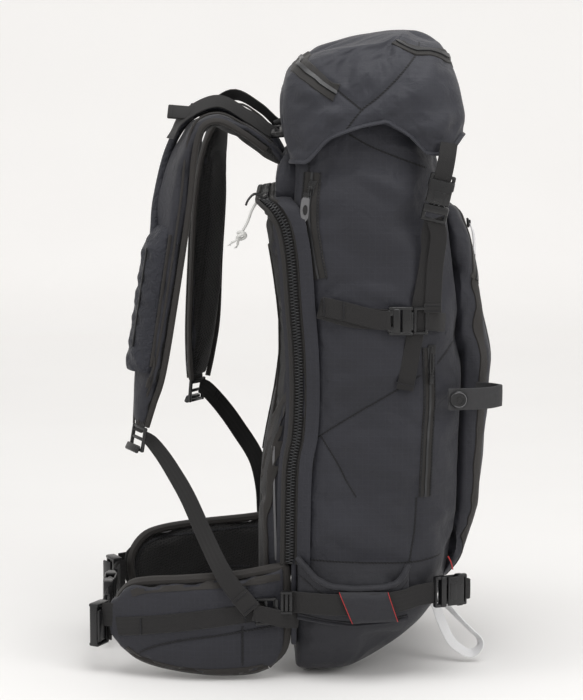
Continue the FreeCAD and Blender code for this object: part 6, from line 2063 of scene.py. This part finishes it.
# Pulls on the lid and the front, the carry loop and its plain stud.
def makeSmallPieces():
    low, high = boxOf("lid_zip_pull")
    middle = (low + high) / 2
    bm = bmesh.new()
    skin = onto(lidTree, Vector((0, middle.y, high.z + 0.009)), Vector((-1, 0, 0)))[0]
    sliderParts(bm, frameOf(skin + at(-0.5, 0, 0), (0.4, 0, -1), (1, 0, 0.4)))
    strip = [skin + at(3, 0, -1), skin + at(6, 0, -8), skin + at(8, 0, -17), skin + at(8.6, 0, -25)]
    band(bm, [(*p, 0.35, 1, 0) for p in strip], 0.0060, 0.0013, material=2)
    ovalPull(bm, frameOf(strip[-1] + at(0, 0, 3), (0.06, 0, -1), (0.9, -0.4, 0)), 19, 7.5, 3, 1, 0)
    finish("lidPull", bm, [blackPlastic, greyRubber, whiteWebbing], body="lid_pull",
           replaces=("lid_zip_pull",))
    low, high = boxOf("front_zip_pull")
    middle = (low + high) / 2
    bm = bmesh.new()
    sliderParts(bm, frameOf((low.x, middle.y, high.z), (0.1, 0, -1), (1, 0, 0.1)))
    x = middle.x + 0.001
    rows = [(low.x + 0.003, middle.y, high.z, 0, 1, 0), (x, middle.y, high.z - 0.012, 0.4, 1, 0),
            (x + 0.001, middle.y, low.z + 0.010, 0.4, 1, 0), (x, middle.y, low.z + 0.003, 0.3, 1, 0)]
    band(bm, rows, 0.0064, 0.0014, material=1)
    block(bm, (-4, -3.4, -1.5), (4, 3.4, 1.5), frameOf((x, middle.y, low.z + 0.005), (0, 0, -1), (1, -0.4, 0)), 1.0, 2)
    finish("frontPull", bm, [blackPlastic, whiteWebbing, greyRubber], body="front_pull",
           replaces=("front_zip_pull",))

    low, high = boxOf("carry_loop")
    z = (low.z + high.z) / 2
    tall = (0, 0, 1)
    bm = bmesh.new()
    rows = [(0.1215, -0.1385, z, *tall), (0.130, -0.1375, z, *tall), (0.146, -0.1350, z, *tall),
            (0.163, -0.1300, z + 0.0005, *tall), (0.1735, -0.1210, z + 0.001, *tall), (0.1745, -0.1110, z, *tall),
            (0.168, -0.1030, z, *tall), (0.158, -0.0965, z, *tall), (0.148, -0.0925, z, *tall)]
    band(bm, rows, 0.0215, 0.0026, spacing=0.003)
    finish("carryLoop", bm, [coatedRubber], body="pack", replaces=("carry_loop",))
    spot = centreOf("badge_stud")
    bm = bmesh.new()
    out = Vector((0.10, -1, 0)).normalized()
    base = Vector((spot.x, -0.1392, spot.z))
    tube(bm, [base, base + out * 0.0010, base + out * 0.0022], 0.0088, sides=40, spacing=0.0006,
         shape=lambda t: 1 - 0.10 * max(0, t - 0.6) / 0.4)
    place = frameOf(base + out * 0.0023, (1, 0, 0), out)
    for radius, thick, material in ((7.2, 0.38, 1), (4.4, 0.30, 0)):
        turn = np.linspace(0, 2 * math.pi, 33)
        ring = [place @ at(radius * math.cos(a), radius * math.sin(a), 0) for a in turn]
        tube(bm, ring, thick * mm, sides=8, material=material, spacing=0.0012)
    tube(bm, [base + out * 0.002, base + out * 0.0031], 0.0019, sides=24, spacing=0.0005)
    finish("plainStud", bm, [blackPlastic, greyRubber], body="pack", replaces=("badge_stud",))


makeSmallPieces()


def makeCollar():
    low, high = boxOf("storm_collar")
    levels = [0, 0.25, 0.5, 0.75, 0.93, 1.0]
    rings = []

    def ringAt(share, inset):
        z = low.z + (high.z - low.z) * share
        draw = 0.004 * share
        loop = roundedLoop(low.x + inset + draw, high.x - inset - draw, high.y - inset - draw, 0.02, 0.03, z, spans=(24, 18))
        middle = Vector(((low.x + high.x) / 2, 0, z))
        made = []
        for i, p in enumerate(loop):
            out = (Vector(p) - middle).normalized()
            made.append(Vector(p) - out * (0.0016 * share * (1 + math.sin(i * 2.3) + 0.5 * math.sin(i * 1.1))))
        return made

    rings = [ringAt(s, 0) for s in levels] + [ringAt(s, 0.0025) for s in levels[::-1]]
    bm = bmesh.new()
    loft(bm, rings, ends=False)
    bmesh.ops.holes_fill(bm, edges=[e for e in bm.edges if e.is_boundary], sides=4)
    piece = finish("stormCollar", bm, [liningCloth], sharp=70, closed=True)
    ripple(piece, 0.02, 0.0012, 71)
    clothMap(piece)
    settleIn(piece, "pack", ("storm_collar",))
    bm = bmesh.new()
    hem = ringAt(0.93, -0.0006)
    tube(bm, hem + hem[:1], 0.0018, sides=8, spacing=0.004)
    finish("collarHem", bm, [bindingCloth], body="pack")


makeCollar()


def makeBalloon():
    piece = padFrom("folded_airbag", "foldedBalloon", [balloonCloth], voxel=0.006, cap=0.003, pressure=2.0)
    ripple(piece, 0.03, 0.0015, 81, (0.6, 3, 3))
    clothMap(piece)
    settleIn(piece, "pack", ("folded_airbag",))


makeBalloon()


def makeCableSleeve():
    # cloth sleeve that carries the release cable along the pad to the trigger pocket
    stations = strapStations("left")
    lift = (harness["foam"] / 2 + 2.8) * mm
    points = [p + n * lift - u * 0.020 for p, u, _, n, _ in stations[2:7]]
    run = (stations[8][0] - stations[6][0]).normalized()
    points.append(stations[8][0] - run * 0.138 + stations[7][3] * 0.012 - stations[7][1] * 0.012)
    points.append(stations[8][0] - run * 0.120 + stations[7][3] * 0.014 - stations[7][1] * 0.006)
    bm = bmesh.new()
    tube(bm, points, 0.0042, squash=0.8, sides=12, spacing=0.004)
    finish("cableSleeve", bm, [sleeveCloth], body="shoulder_left", replaces=("trigger_cable",))


makeCableSleeve()

innerLooks = {
    "frame_sheet": sheetPlastic, "frame_stays": aluminium, "gas_cylinder": steel, "valve_body": gunMetal,
    "valve_pin": steel, "cable_housing": blackPlastic, "trigger_handle": redPlastic,
}
for name, material in innerLooks.items():
    mesh = bpy.data.objects[name].data
    for i in range(len(mesh.materials)):
        mesh.materials[i] = material
print("small pieces ready")
